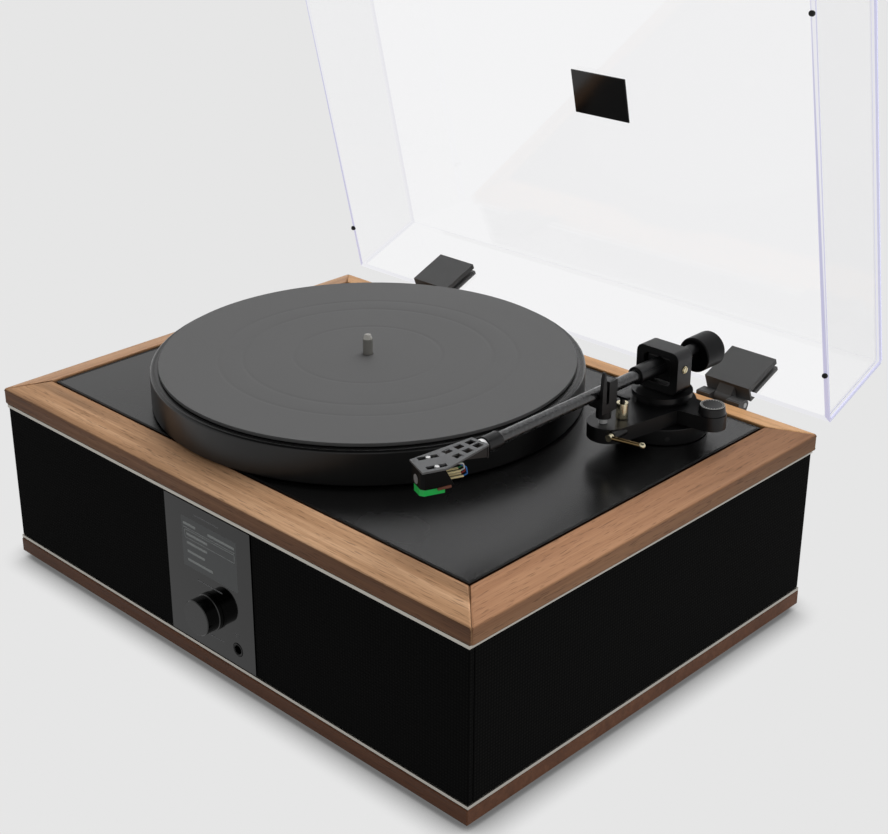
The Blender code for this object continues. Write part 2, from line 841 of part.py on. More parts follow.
def make_knob():
    """The stepped volume knob on its shaft, and the encoder that the shaft turns in."""
    step = KNOB_BACK_LENGTH
    front = KNOB_BACK_LENGTH + KNOB_FRONT_LENGTH
    knob_profile = [
        (0, front),
        (KNOB_FRONT_RADIUS - KNOB_CHAMFER, front),
        (KNOB_FRONT_RADIUS, front - KNOB_CHAMFER),
        (KNOB_FRONT_RADIUS, step),
        (KNOB_BACK_RADIUS - KNOB_CHAMFER, step),
        (KNOB_BACK_RADIUS, step - KNOB_CHAMFER),
        (KNOB_BACK_RADIUS, 0),
        (KNOB_SHAFT_RADIUS, 0),
        (KNOB_SHAFT_RADIUS, -KNOB_SHAFT_LENGTH),
        (0, -KNOB_SHAFT_LENGTH),
    ]
    knob = turned("control_knob", knob_profile, "gloss_plastic", (KNOB_X, knob_back, KNOB_Z))
    knob.rotation_euler = (math.pi / 2, 0, 0)
    bush_radius = KNOB_SHAFT_RADIUS + GAP + ENCODER_BUSH_WALL
    body_front = panel_back + GAP
    half = ENCODER_SIZE / 2
    encoder = block(
        "rotary_encoder",
        (KNOB_X - half, body_front, KNOB_Z - half),
        (KNOB_X + half, body_front + ENCODER_DEPTH, KNOB_Z + half),
        "brushed_steel",
    )
    bush = rod(
        "encoder_bush",
        bush_radius,
        (KNOB_X, panel_front + GAP, KNOB_Z),
        body_front - panel_front + OVERRUN,
        "Y",
    )
    bore = rod(
        "encoder_bore",
        KNOB_SHAFT_RADIUS + GAP,
        (KNOB_X, panel_front - OVERRUN, KNOB_Z),
        KNOB_SHAFT_LENGTH + GAP + OVERRUN,
        "Y",
    )
    join(encoder, bush)
    cut(encoder, bore)


def make_headphone_socket():
    """A round jack socket: a threaded bush through the panel with a body behind it."""
    bush = SOCKET_BORE + SOCKET_WALL
    nut = bush + SOCKET_NUT_WALL
    nut_top = panel_back + GAP - panel_front
    turned(
        "headphone_socket",
        [
            (SOCKET_BORE, SOCKET_DEPTH - SOCKET_WALL),
            (0, SOCKET_DEPTH - SOCKET_WALL),
            (0, SOCKET_DEPTH),
            (nut, SOCKET_DEPTH),
            (nut, nut_top),
            (bush, nut_top),
            (bush, 0),
            (SOCKET_BORE, 0),
        ],
        "gloss_plastic",
        (SOCKET_X, panel_front, SOCKET_Z),
        "Y",
    )


def make_drivers():
    seat = GAP - baffle_back
    flange_radius = DRIVER_HOLE_RADIUS + DRIVER_FLANGE_WIDTH
    basket_end = DRIVER_FLANGE_THICKNESS + DRIVER_BASKET_DEPTH
    profile = [
        (0, basket_end + DRIVER_MAGNET_DEPTH),
        (DRIVER_MAGNET_RADIUS, basket_end + DRIVER_MAGNET_DEPTH),
        (DRIVER_MAGNET_RADIUS, basket_end),
        (DRIVER_HOLE_RADIUS, DRIVER_FLANGE_THICKNESS),
        (flange_radius, DRIVER_FLANGE_THICKNESS),
        (flange_radius, 0),
        (DRIVER_HOLE_RADIUS, 0),
        (DRIVER_CONE_FLOOR_RADIUS, DRIVER_CONE_DEPTH),
        (0, DRIVER_CONE_DEPTH),
    ]
    for side, across in (("left", -driver_x), ("right", driver_x)):
        turned(f"{side}_driver", profile, "driver_black", (across, seat, body_middle), "Y")


def make_amplifier():
    """The circuit board on four stand-offs, with its transformer, heat sink and capacitors."""
    half_board = AMPLIFIER_WIDTH / 2
    half_length = AMPLIFIER_LENGTH / 2
    stand_bottom = base_top + GAP
    board_bottom = stand_bottom + AMPLIFIER_STAND
    board_top = board_bottom + AMPLIFIER_BOARD
    board = block(
        "amplifier_board",
        (-half_board, AMPLIFIER_Y - half_length, board_bottom),
        (half_board, AMPLIFIER_Y + half_length, board_top),
        "circuit_green",
    )
    sunk = AMPLIFIER_BOARD / 2
    for side in (-1, 1):
        for end in (-1, 1):
            corner_x = side * (half_board - STAND_SIZE)
            corner_y = AMPLIFIER_Y + end * (half_length - STAND_SIZE)
            stand = block(
                f"stand_off_{side}_{end}",
                (corner_x - STAND_SIZE / 2, corner_y - STAND_SIZE / 2, stand_bottom),
                (corner_x + STAND_SIZE / 2, corner_y + STAND_SIZE / 2, board_bottom + sunk),
            )
            join(board, stand)
    transformer_x = half_board - STAND_SIZE - TRANSFORMER_WIDTH / 2
    transformer = block(
        "transformer",
        (transformer_x - TRANSFORMER_WIDTH / 2, AMPLIFIER_Y - TRANSFORMER_LENGTH / 2, board_top - sunk),
        (
            transformer_x + TRANSFORMER_WIDTH / 2,
            AMPLIFIER_Y + TRANSFORMER_LENGTH / 2,
            board_top + TRANSFORMER_HEIGHT,
        ),
    )
    sink_x = -half_board + STAND_SIZE + HEAT_SINK_WIDTH / 2
    heat_sink = block(
        "heat_sink",
        (sink_x - HEAT_SINK_WIDTH / 2, AMPLIFIER_Y - HEAT_SINK_LENGTH / 2, board_top - sunk),
        (
            sink_x + HEAT_SINK_WIDTH / 2,
            AMPLIFIER_Y + HEAT_SINK_LENGTH / 2,
            board_top + HEAT_SINK_HEIGHT,
        ),
    )
    capacitor_y = AMPLIFIER_Y + HEAT_SINK_LENGTH / 2 + CAPACITOR_RADIUS * 2
    join(board, transformer, heat_sink)
    for index in (-1, 1):
        capacitor = rod(
            f"capacitor_{index}",
            CAPACITOR_RADIUS,
            (sink_x + index * CAPACITOR_RADIUS * 2, capacitor_y, board_top - sunk),
            sunk + CAPACITOR_HEIGHT,
        )
        join(board, capacitor)


def make_rear_panel():
    outer = cloth_half_depth
    inner = outer - REAR_PANEL_THICKNESS
    panel = block(
        "rear_panel",
        (-REAR_PANEL_WIDTH / 2, inner, REAR_PANEL_Z - REAR_PANEL_HEIGHT / 2),
        (REAR_PANEL_WIDTH / 2, outer, REAR_PANEL_Z + REAR_PANEL_HEIGHT / 2),
        "black_paint",
    )
    inlet_hole = block(
        "inlet_hole",
        (
            inlet_x - INLET_WIDTH / 2 - GAP,
            inner - OVERRUN,
            REAR_PANEL_Z - INLET_HEIGHT / 2 - GAP,
        ),
        (
            inlet_x + INLET_WIDTH / 2 + GAP,
            outer + OVERRUN,
            REAR_PANEL_Z + INLET_HEIGHT / 2 + GAP,
        ),
    )
    cut(panel, inlet_hole)
    make_inlet(outer)
    make_sockets(panel, inner)


def make_inlet(outer):
    """The mains inlet and the well that its rocker switch sits in, one moulding."""
    inlet = block(
        "power_inlet",
        (inlet_x - INLET_WIDTH / 2, outer - INLET_DEPTH, REAR_PANEL_Z - INLET_HEIGHT / 2),
        (inlet_x + INLET_WIDTH / 2, outer, REAR_PANEL_Z + INLET_HEIGHT / 2),
        "matt_plastic",
    )
    recess_z = REAR_PANEL_Z - INLET_RECESS_DROP
    recess = block(
        "inlet_recess",
        (
            inlet_x - INLET_RECESS_WIDTH / 2,
            outer - INLET_RECESS_DEPTH,
            recess_z - INLET_RECESS_HEIGHT / 2,
        ),
        (inlet_x + INLET_RECESS_WIDTH / 2, outer + OVERRUN, recess_z + INLET_RECESS_HEIGHT / 2),
    )
    rocker_z = REAR_PANEL_Z + ROCKER_LIFT
    well_half = ROCKER_HEIGHT / 2 + ROCKER_CLEARANCE / 2
    well_depth = ROCKER_DEPTH + ROCKER_CLEARANCE
    well = block(
        "rocker_well",
        (inlet_x - ROCKER_WIDTH / 2 - GAP, outer - well_depth, rocker_z - well_half),
        (inlet_x + ROCKER_WIDTH / 2 + GAP, outer + OVERRUN, rocker_z + well_half),
    )
    cut(inlet, recess, well)
    # The rocker turns about a line along X halfway down its depth
    axis_y = outer - ROCKER_DEPTH / 2
    half_height = ROCKER_HEIGHT / 2
    top_y = ROCKER_DEPTH / 2 + ROCKER_PROUD
    rocker = [
        (-ROCKER_DEPTH / 2, -half_height + ROCKER_TIP),
        (-ROCKER_DEPTH / 2, half_height - ROCKER_TIP),
        (0, half_height),
        (top_y - ROCKER_TIP, half_height),
        (top_y - ROCKER_TIP / 2, 0),
        (top_y + ROCKER_PROUD, -half_height + ROCKER_TIP / 2),
        (0, -half_height),
    ]
    outline(
        "power_switch",
        [rocker],
        ROCKER_WIDTH,
        "matt_plastic",
        (inlet_x, axis_y, rocker_z),
        "YZ",
    )


def make_sockets(panel, inner):
    """Two rows of audio jacks on one moulded block, with their barrels through the panel."""
    left = sockets_x - SOCKETS_WIDTH / 2
    sockets = block(
        "rear_sockets",
        (left, inner - GAP - SOCKETS_DEPTH, REAR_PANEL_Z - SOCKETS_HEIGHT / 2),
        (left + SOCKETS_WIDTH, inner - GAP, REAR_PANEL_Z + SOCKETS_HEIGHT / 2),
        "matt_plastic",
    )
    reach = GAP + REAR_PANEL_THICKNESS + JACK_LENGTH
    first = left + (SOCKETS_WIDTH - JACK_PITCH * (JACK_COLUMNS - 1)) / 2
    for column in range(JACK_COLUMNS):
        for row in (-1, 1):
            place = (first + column * JACK_PITCH, REAR_PANEL_Z + row * JACK_PITCH / 2)
            barrel = rod(
                f"jack_{column}_{row}",
                JACK_RADIUS,
                (place[0], inner - GAP - OVERRUN, place[1]),
                reach + OVERRUN,
                "Y",
            )
            hole = rod(
                f"jack_hole_{column}_{row}",
                JACK_RADIUS + GAP,
                (place[0], inner - OVERRUN, place[1]),
                REAR_PANEL_THICKNESS + OVERRUN * 2,
                "Y",
            )
            join(sockets, barrel)
            cut(panel, hole)


def make_platter():
    centre = (platter_x, platter_y, 0)
    spin = pivot("platter_pivot", centre)
    inner = PLATTER_RADIUS - PLATTER_WALL
    turned(
        "platter",
        [
            (spindle_bore, platter_top),
            (PLATTER_RADIUS - PLATTER_CHAMFER, platter_top),
            (PLATTER_RADIUS, platter_top - PLATTER_CHAMFER),
            (PLATTER_RADIUS, platter_bottom),
            (inner, platter_bottom),
            (inner, platter_ceiling),
            (spindle_bore, platter_ceiling),
        ],
        "platter_black",
        parent=spin,
        count=LARGE_ROUND,
    )
    turned(
        "platter_mat",
        [
            (spindle_bore, mat_top),
            (MAT_RADIUS - MAT_CHAMFER, mat_top),
            (MAT_RADIUS, mat_top - MAT_CHAMFER),
            (MAT_RADIUS, mat_bottom),
            (spindle_bore, mat_bottom),
        ],
        "rubber",
        parent=spin,
        count=LARGE_ROUND,
    )
    spindle_top = mat_top + SPINDLE_ABOVE_MAT
    turned(
        "spindle",
        [
            (0, spindle_top),
            (SPINDLE_TIP_RADIUS, spindle_top),
            (SPINDLE_RADIUS, spindle_top - SPINDLE_TIP_LENGTH),
            (SPINDLE_RADIUS, deck_top - SPINDLE_DEPTH),
            (0, deck_top - SPINDLE_DEPTH),
        ],
        "chrome",
        parent=spin,
        count=SMALL_ROUND,
    )
    make_sub_platter(spin)
    make_bearing()


def make_sub_platter(spin):
    """The inner wheel that the belt drives; the platter sits on its hub."""
    disc_top = sub_platter_top - SUB_PLATTER_STEP
    disc_bottom = disc_top - SUB_PLATTER_DISC
    turned(
        "sub_platter",
        [
            (spindle_bore, sub_platter_top),
            (SUB_PLATTER_HUB_RADIUS, sub_platter_top),
            (SUB_PLATTER_HUB_RADIUS, disc_top),
            (SUB_PLATTER_RADIUS, disc_top),
            (SUB_PLATTER_RADIUS, disc_bottom),
            (SUB_PLATTER_HUB_RADIUS, disc_bottom),
            (SUB_PLATTER_HUB_RADIUS, bearing_top + GAP),
            (spindle_bore, bearing_top + GAP),
        ],
        "aluminium",
        parent=spin,
        count=LARGE_ROUND,
    )


def make_bearing():
    """The housing screwed into the deck, closed below, that the spindle turns in."""
    well_floor = deck_top - SPINDLE_DEPTH - GAP
    turned(
        "platter_bearing",
        [
            (0, well_floor),
            (spindle_bore, well_floor),
            (spindle_bore, bearing_top),
            (BEARING_FLANGE_RADIUS, bearing_top),
            (BEARING_FLANGE_RADIUS, deck_top + GAP),
            (BEARING_BODY_RADIUS, deck_top + GAP),
            (BEARING_BODY_RADIUS, well_floor - BEARING_FLOOR),
            (0, well_floor - BEARING_FLOOR),
        ],
        "brass",
        (platter_x, platter_y, 0),
    )


def make_drive():
    bore = MOTOR_SHAFT_RADIUS + GAP
    shaft_floor = motor_top - MOTOR_SHAFT_DEPTH
    turned(
        "motor",
        [
            (0, shaft_floor - GAP),
            (bore, shaft_floor - GAP),
            (bore, motor_top),
            (MOTOR_RADIUS, motor_top),
            (MOTOR_RADIUS, motor_top - MOTOR_LENGTH),
            (0, motor_top - MOTOR_LENGTH),
        ],
        "brushed_steel",
        (motor_x, motor_y, 0),
    )
    turned(
        "motor_pulley",
        [
            (0, pulley_top),
            (PULLEY_RADIUS, pulley_top),
            (PULLEY_RADIUS, pulley_top - PULLEY_HEIGHT),
            (MOTOR_SHAFT_RADIUS, pulley_top - PULLEY_HEIGHT),
            (MOTOR_SHAFT_RADIUS, shaft_floor),
            (0, shaft_floor),
        ],
        "brass",
        (motor_x, motor_y, 0),
    )
    inner = two_circle_outline(
        (platter_x, platter_y),
        SUB_PLATTER_RADIUS + GAP,
        (motor_x, motor_y),
        PULLEY_RADIUS + GAP,
        ROUND,
    )
    outer = two_circle_outline(
        (platter_x, platter_y),
        SUB_PLATTER_RADIUS + GAP + BELT_THICKNESS,
        (motor_x, motor_y),
        PULLEY_RADIUS + GAP + BELT_THICKNESS,
        ROUND,
    )
    outline("drive_belt", [outer, inner], BELT_WIDTH, "rubber", (0, 0, belt_middle))


def make_arm_base():
    rod(
        "arm_base",
        ARM_BASE_RADIUS,
        (arm_x, arm_y, arm_base_bottom),
        ARM_BASE_HEIGHT,
        look="arm_black",
        count=ROUND,
    )
    hub = (arm_x, arm_y)
    casting = outline(
        "arm_board",
        [two_circle_outline(hub, HUB_RADIUS, front_lobe, FRONT_LOBE_RADIUS, ROUND)],
        CASTING_HEIGHT,
        "arm_black",
        (0, 0, casting_bottom + CASTING_HEIGHT / 2),
    )
    lobe_height = CASTING_HEIGHT - GAP
    right_arm = outline(
        "right_lobe",
        [
            two_circle_outline(
                hub,
                RIGHT_LOBE_RADIUS + RIGHT_LOBE_RADIUS / 2,
                right_lobe,
                RIGHT_LOBE_RADIUS,
                SMALL_ROUND,
            )
        ],
        lobe_height,
        at=(0, 0, casting_top - lobe_height / 2 + GAP),
    )
    collar = turned(
        "arm_collar",
        [
            (0, collar_top),
            (COLLAR_RADIUS, collar_top),
            (COLLAR_RADIUS, collar_top - COLLAR_HEIGHT),
            (COLLAR_NECK_RADIUS, collar_top - COLLAR_HEIGHT),
            (COLLAR_NECK_RADIUS, casting_top - OVERRUN),
            (0, casting_top - OVERRUN),
        ],
        at=(arm_x, arm_y, 0),
    )
    boss = rod(
        "lever_boss", LEVER_BOSS_RADIUS, (lever_x, lever_y, lever_z), LEVER_BOSS_LENGTH, "Y"
    )
    swing_bore = rod(
        "swing_bore",
        SWING_SHAFT_RADIUS + GAP,
        (arm_x, arm_y, shaft_bottom - GAP),
        SWING_SHAFT_LENGTH + OVERRUN,
    )
    lever_bore = rod(
        "lever_bore",
        LEVER_SHAFT_RADIUS + GAP,
        (lever_x, lever_y - OVERRUN, lever_z),
        LEVER_SHAFT_DEPTH + OVERRUN + GAP,
        "Y",
    )
    join(casting, right_arm, collar, boss)
    cut(casting, swing_bore, lever_bore)


def make_yoke():
    """The bearing block that swings: a frame the tube passes through, on a short shaft."""
    swing = pivot("swing_pivot", (arm_x, arm_y, 0))
    middle = (yoke_bottom + yoke_top) / 2
    yoke = outline(
        "arm_yoke",
        [rounded_rectangle(YOKE_WIDTH, YOKE_HEIGHT, YOKE_ROUND, 4)],
        YOKE_DEPTH,
        "arm_black",
        (0, 0, middle),
        "XZ",
        swing,
    )
    window_width = YOKE_WIDTH - YOKE_SIDE_WALL * 2
    window_height = YOKE_HEIGHT - YOKE_FLOOR - YOKE_ROOF
    window_middle = (yoke_bottom + YOKE_FLOOR + yoke_top - YOKE_ROOF) / 2
    window = outline(
        "yoke_window",
        [rounded_rectangle(window_width, window_height, YOKE_ROUND / 2, 3)],
        YOKE_DEPTH + OVERRUN * 2,
        at=(arm_x, arm_y, window_middle),
        plane="XZ",
    )
    shaft = rod(
        "swing_shaft",
        SWING_SHAFT_RADIUS,
        (arm_x, arm_y, shaft_bottom),
        SWING_SHAFT_LENGTH + OVERRUN,
    )
    axle_bore = rod(
        "axle_bore",
        AXLE_RADIUS + GAP,
        (arm_x - YOKE_WIDTH / 2 - OVERRUN, arm_y, pitch_z),
        YOKE_WIDTH + OVERRUN * 2,
        "X",
    )
    join(yoke, shaft)
    cut(yoke, window, axle_bore)
    make_axle(swing)
    make_tube(swing)


def make_axle(swing):
    """The axle across the yoke that the tube pitches on; its ends show as two screw heads."""
    reach = YOKE_WIDTH / 2 + AXLE_PROUD
    rod("pitch_axle", AXLE_RADIUS, (-reach, 0, pitch_z), reach * 2, "X", "brass", swing)


def make_tube(swing):
    """The arm tube with its front collar, bearing sleeve and the stub behind."""
    pitch = pivot("pitch_pivot", (0, 0, pitch_z), parent=swing)
    tube = turned(
        "arm_tube",
        [
            (0, STUB_LENGTH),
            (STUB_RADIUS, STUB_LENGTH),
            (STUB_RADIUS, SLEEVE_BACK),
            (SLEEVE_RADIUS, SLEEVE_BACK),
            (SLEEVE_RADIUS, -SLEEVE_FRONT),
            (TUBE_RADIUS, -SLEEVE_FRONT),
            (TUBE_RADIUS, TUBE_COLLAR_LENGTH - TUBE_FRONT),
            (TUBE_COLLAR_RADIUS, TUBE_COLLAR_LENGTH - TUBE_FRONT),
            (TUBE_COLLAR_RADIUS, -TUBE_FRONT),
            (0, -TUBE_FRONT),
        ],
        "carbon_fibre",
        along="Y",
        parent=pitch,
        count=24,
    )
    tube_bore = rod(
        "tube_axle_bore",
        AXLE_RADIUS + GAP,
        (arm_x - SLEEVE_RADIUS - OVERRUN, arm_y, pitch_z),
        (SLEEVE_RADIUS + OVERRUN) * 2,
        "X",
    )
    cut(tube, tube_bore)
    weight = turned(
        "counterweight",
        [
            (0, COUNTERWEIGHT_LENGTH),
            (COUNTERWEIGHT_RADIUS - COUNTERWEIGHT_CHAMFER, COUNTERWEIGHT_LENGTH),
            (COUNTERWEIGHT_RADIUS, COUNTERWEIGHT_LENGTH - COUNTERWEIGHT_CHAMFER),
            (COUNTERWEIGHT_RADIUS, COUNTERWEIGHT_CHAMFER),
            (COUNTERWEIGHT_RADIUS - COUNTERWEIGHT_CHAMFER, 0),
            (0, 0),
        ],
        "counterweight_black",
        (0, COUNTERWEIGHT_BACK, -COUNTERWEIGHT_DROP),
        "Y",
        pitch,
    )
    bore = rod(
        "counterweight_bore",
        STUB_RADIUS + GAP,
        (arm_x, arm_y + COUNTERWEIGHT_BACK - OVERRUN, pitch_z),
        COUNTERWEIGHT_LENGTH + OVERRUN * 2,
        "Y",
    )
    cut(weight, bore)
    make_headshell(pitch)


def headshell_point(across, back):
    """A place on the headshell: across to the left, and back, from its front right corner."""
    front = -TUBE_FRONT - GAP - HEADSHELL_NECK_LENGTH - HEADSHELL_LENGTH
    cosine = math.cos(HEADSHELL_TILT)
    sine = math.sin(HEADSHELL_TILT)
    return (
        HEADSHELL_FRONT_X - across * cosine + back * sine,
        front + across * sine + back * cosine,
    )


def headshell_loop(left, right, front, back):
    """A rectangle square to the headshell's front edge."""
    return [
        headshell_point(right, front),
        headshell_point(right, back),
        headshell_point(left, back),
        headshell_point(left, front),
    ]


def make_headshell(pitch):
    """The flat headshell with two screw slots, six holes and a cheek down each side."""
    neck_end = -TUBE_FRONT - GAP
    rear = neck_end - HEADSHELL_NECK_LENGTH
    plate = [
        headshell_point(0, 0),
        headshell_point(0, HEADSHELL_SIDE),
        (HEADSHELL_REAR_HALF, rear),
        (-HEADSHELL_REAR_HALF, rear),
        headshell_point(HEADSHELL_WIDTH, 0),
    ]
    loops = [plate]
    half_length = SLOT_LENGTH / 2
    half_slot = SLOT_WIDTH / 2
    for across in (SLOT_EDGE, SLOT_EDGE + SLOT_SPACING):
        loops.append(
            headshell_loop(
                across + half_slot,
                across - half_slot,
                SLOT_BACK - half_length,
                SLOT_BACK + half_length,
            )
        )
    for row in range(HOLE_ROWS):
        along = rear - HOLE_FIRST - HOLE_PITCH * row
        for side in (-1, 1):
            across = side * (HOLE_OFFSET + HOLE_SPREAD * row)
            loops.append(
                [
                    (across - HOLE_WIDTH / 2, along - HOLE_LENGTH / 2),
                    (across + HOLE_WIDTH / 2, along - HOLE_LENGTH / 2),
                    (across + HOLE_WIDTH / 2, along + HOLE_LENGTH / 2),
                    (across - HOLE_WIDTH / 2, along + HOLE_LENGTH / 2),
                ]
            )
    headshell = outline(
        "headshell",
        loops,
        HEADSHELL_THICKNESS,
        "headshell_grey",
        (0, 0, HEADSHELL_TOP - HEADSHELL_THICKNESS / 2),
        parent=pitch,
    )
    plate_middle = HEADSHELL_TOP - HEADSHELL_THICKNESS / 2
    base = Vector((arm_x, arm_y, pitch_z))
    neck = rod(
        "headshell_neck",
        HEADSHELL_NECK_RADIUS,
        base + Vector((0, rear - CHEEK_THICKNESS / 2, 0)),
        HEADSHELL_NECK_LENGTH + CHEEK_THICKNESS / 2,
        "Y",
    )
    wall = block(
        "headshell_rear_wall",
        base + Vector((-HEADSHELL_REAR_HALF, rear - CHEEK_THICKNESS, HEADSHELL_TOP - CHEEK_DROP)),
        base + Vector((HEADSHELL_REAR_HALF, rear, plate_middle)),
    )
    join(headshell, neck, wall)
    cheek_rear = rear - CHEEK_THICKNESS / 2
    cheek = [
        (cheek_rear, plate_middle + GAP),
        (rear - CHEEK_LENGTH, plate_middle + GAP),
        (rear - CHEEK_LENGTH, plate_middle - CHEEK_NOSE),
        (cheek_rear, HEADSHELL_TOP - CHEEK_DROP + GAP),
    ]
    for side in (-1, 1):
        middle = side * (HEADSHELL_REAR_HALF - CHEEK_THICKNESS / 2 - GAP)
        join(
            headshell,
            outline(
                f"headshell_cheek_{side}",
                [cheek],
                CHEEK_THICKNESS,
                at=base + Vector((middle, 0, 0)),
                plane="YZ",
            ),
        )
    make_cartridge(pitch)


def make_cartridge(pitch):
    """The cartridge body with its leaning rear face, and the stylus clipped beneath it."""
    middle = SLOT_EDGE + SLOT_SPACING / 2
    left = middle + CARTRIDGE_WIDTH / 2
    right = middle - CARTRIDGE_WIDTH / 2
    back = CARTRIDGE_SETBACK + CARTRIDGE_LENGTH
    chamfer = CARTRIDGE_CHAMFER
    body = [
        headshell_point(right + chamfer, CARTRIDGE_SETBACK),
        headshell_point(right, CARTRIDGE_SETBACK + chamfer),
        headshell_point(right, back),
        headshell_point(left, back),
        headshell_point(left, CARTRIDGE_SETBACK + chamfer),
        headshell_point(left - chamfer, CARTRIDGE_SETBACK),
    ]
    body_top = HEADSHELL_TOP - HEADSHELL_THICKNESS - GAP
    body_floor = body_top - CARTRIDGE_HEIGHT
    cartridge = outline(
        "cartridge",
        [body],
        CARTRIDGE_HEIGHT,
        "matt_plastic",
        (0, 0, body_top - CARTRIDGE_HEIGHT / 2),
        parent=pitch,
    )
    front_corner = Vector(headshell_point(0, 0))
    back_way = Vector((math.sin(HEADSHELL_TILT), math.cos(HEADSHELL_TILT)))
    for vertex in cartridge.data.vertices:
        reach = (vertex.co.xy - front_corner).dot(back_way)
        if vertex.co.z > 0 and reach > CARTRIDGE_LENGTH / 2:
            vertex.co.xy = vertex.co.xy - back_way * CARTRIDGE_SLOPE
    toe = STYLUS_SETBACK + STYLUS_CHAMFER
    stylus_left = middle + STYLUS_WIDTH / 2
    stylus_right = middle - STYLUS_WIDTH / 2
    shell = [
        headshell_point(stylus_right + STYLUS_CHAMFER, STYLUS_SETBACK),
        headshell_point(stylus_right, toe),
        headshell_point(stylus_right, STYLUS_SETBACK + STYLUS_LENGTH),
        headshell_point(stylus_left, STYLUS_SETBACK + STYLUS_LENGTH),
        headshell_point(stylus_left, toe),
        headshell_point(stylus_left - STYLUS_CHAMFER, STYLUS_SETBACK),
    ]
    shell_top = body_floor - GAP
    stylus = outline(
        "stylus",
        [shell],
        STYLUS_HEIGHT,
        "stylus_green",
        (0, 0, shell_top - STYLUS_HEIGHT / 2),
        parent=pitch,
    )
    tip_x, tip_y = headshell_point(middle, STYLUS_SETBACK + TIP_SETBACK)
    shell_bottom = shell_top - STYLUS_HEIGHT
    tip = rod(
        "stylus_tip",
        TIP_RADIUS,
        Vector((arm_x, arm_y, pitch_z)) + Vector((tip_x, tip_y, shell_bottom - TIP_DROP)),
        TIP_DROP + STYLUS_HEIGHT / 2,
        count=8,
    )
    join(stylus, tip)


def make_arm_rest():
    """The pin, barrel and open clip beside the tube, where the arm parks."""
    pin_bottom = casting_top + GAP
    barrel_bottom = pin_bottom + REST_PIN_HEIGHT
    barrel_top = barrel_bottom + REST_BARREL_HEIGHT
    cradle_top = pitch_z - TUBE_RADIUS - REST_CRADLE_GAP
    rest = rod(
        "arm_rest",
        REST_BARREL_RADIUS,
        (rest_x, rest_y, barrel_bottom),
        REST_BARREL_HEIGHT,
        look="arm_black",
    )
    pin = rod(
        "rest_pin", REST_PIN_RADIUS, (rest_x, rest_y, pin_bottom), REST_PIN_HEIGHT + OVERRUN
    )
    plate_inner = arm_x + TUBE_RADIUS + REST_SIDE_GAP
    plate_outer = plate_inner + REST_PLATE_THICKNESS
    plate_rear = rest_y + REST_PLATE_BACK
    plate_front = plate_rear - REST_PLATE_LENGTH
    spike_front = rest_y - REST_SPIKE_FRONT
    spike_back = spike_front + REST_SPIKE_LENGTH
    cradle_bottom = barrel_top - OVERRUN / 2
    cradle = block(
        "rest_cradle",
        (rest_x - REST_CRADLE_LEFT, plate_front, cradle_bottom),
        (plate_inner + REST_PLATE_THICKNESS / 2, plate_rear - GAP, cradle_top),
    )
    slot_floor = barrel_top + REST_SLOT_FLOOR
    spike_middle = (spike_front + spike_back) / 2
    shoulder = barrel_top + REST_SPIKE_SHOULDER
    side = [
        (spike_front, cradle_bottom + GAP),
        (plate_rear, cradle_bottom + GAP),
        (plate_rear, barrel_top + REST_PLATE_HEIGHT),
        (plate_front, barrel_top + REST_PLATE_HEIGHT),
        (plate_front, slot_floor),
        (spike_back, slot_floor),
        (spike_back, shoulder),
        (spike_middle + REST_SPIKE_TIP / 2, barrel_top + REST_SPIKE_HEIGHT),
        (spike_middle - REST_SPIKE_TIP / 2, barrel_top + REST_SPIKE_HEIGHT),
        (spike_front, shoulder),
    ]
    guard = outline(
        "rest_guard",
        [side],
        REST_PLATE_THICKNESS,
        at=((plate_inner + plate_outer) / 2, 0, 0),
        plane="YZ",
    )
    join(rest, pin, cradle, guard)


def make_lift():
    """The damped lift: a cylinder on the casting and a plunger whose bar raises the tube."""
    cylinder_bottom = casting_top + GAP
    cylinder_top = cylinder_bottom + LIFT_HEIGHT
    bore = LIFT_ROD_RADIUS + GAP
    bore_floor = cylinder_top - LIFT_ROD_DEPTH
    turned(
        "lift_cylinder",
        [
            (0, bore_floor - GAP),
            (bore, bore_floor - GAP),
            (bore, cylinder_top),
            (LIFT_RADIUS, cylinder_top),
            (LIFT_RADIUS, cylinder_bottom),
            (0, cylinder_bottom),
        ],
        "chrome",
        (lift_x, lift_y, 0),
        count=SMALL_ROUND,
    )
    bar_bottom = cylinder_top + LIFT_ROD_RISE
    plunger = rod(
        "lift_plunger",
        LIFT_ROD_RADIUS,
        (lift_x, lift_y, bore_floor),
        LIFT_ROD_DEPTH + LIFT_ROD_RISE + LIFT_BAR_HEIGHT / 2,
        look="arm_black",
    )
    bar_middle = lift_x - LIFT_BAR_OFFSET
    bar = block(
        "lift_bar",
        (bar_middle - LIFT_BAR_LENGTH / 2, lift_y - LIFT_BAR_WIDTH / 2, bar_bottom),
        (
            bar_middle + LIFT_BAR_LENGTH / 2,
            lift_y + LIFT_BAR_WIDTH / 2,
            bar_bottom + LIFT_BAR_HEIGHT,
        ),
    )
    join(plunger, bar)


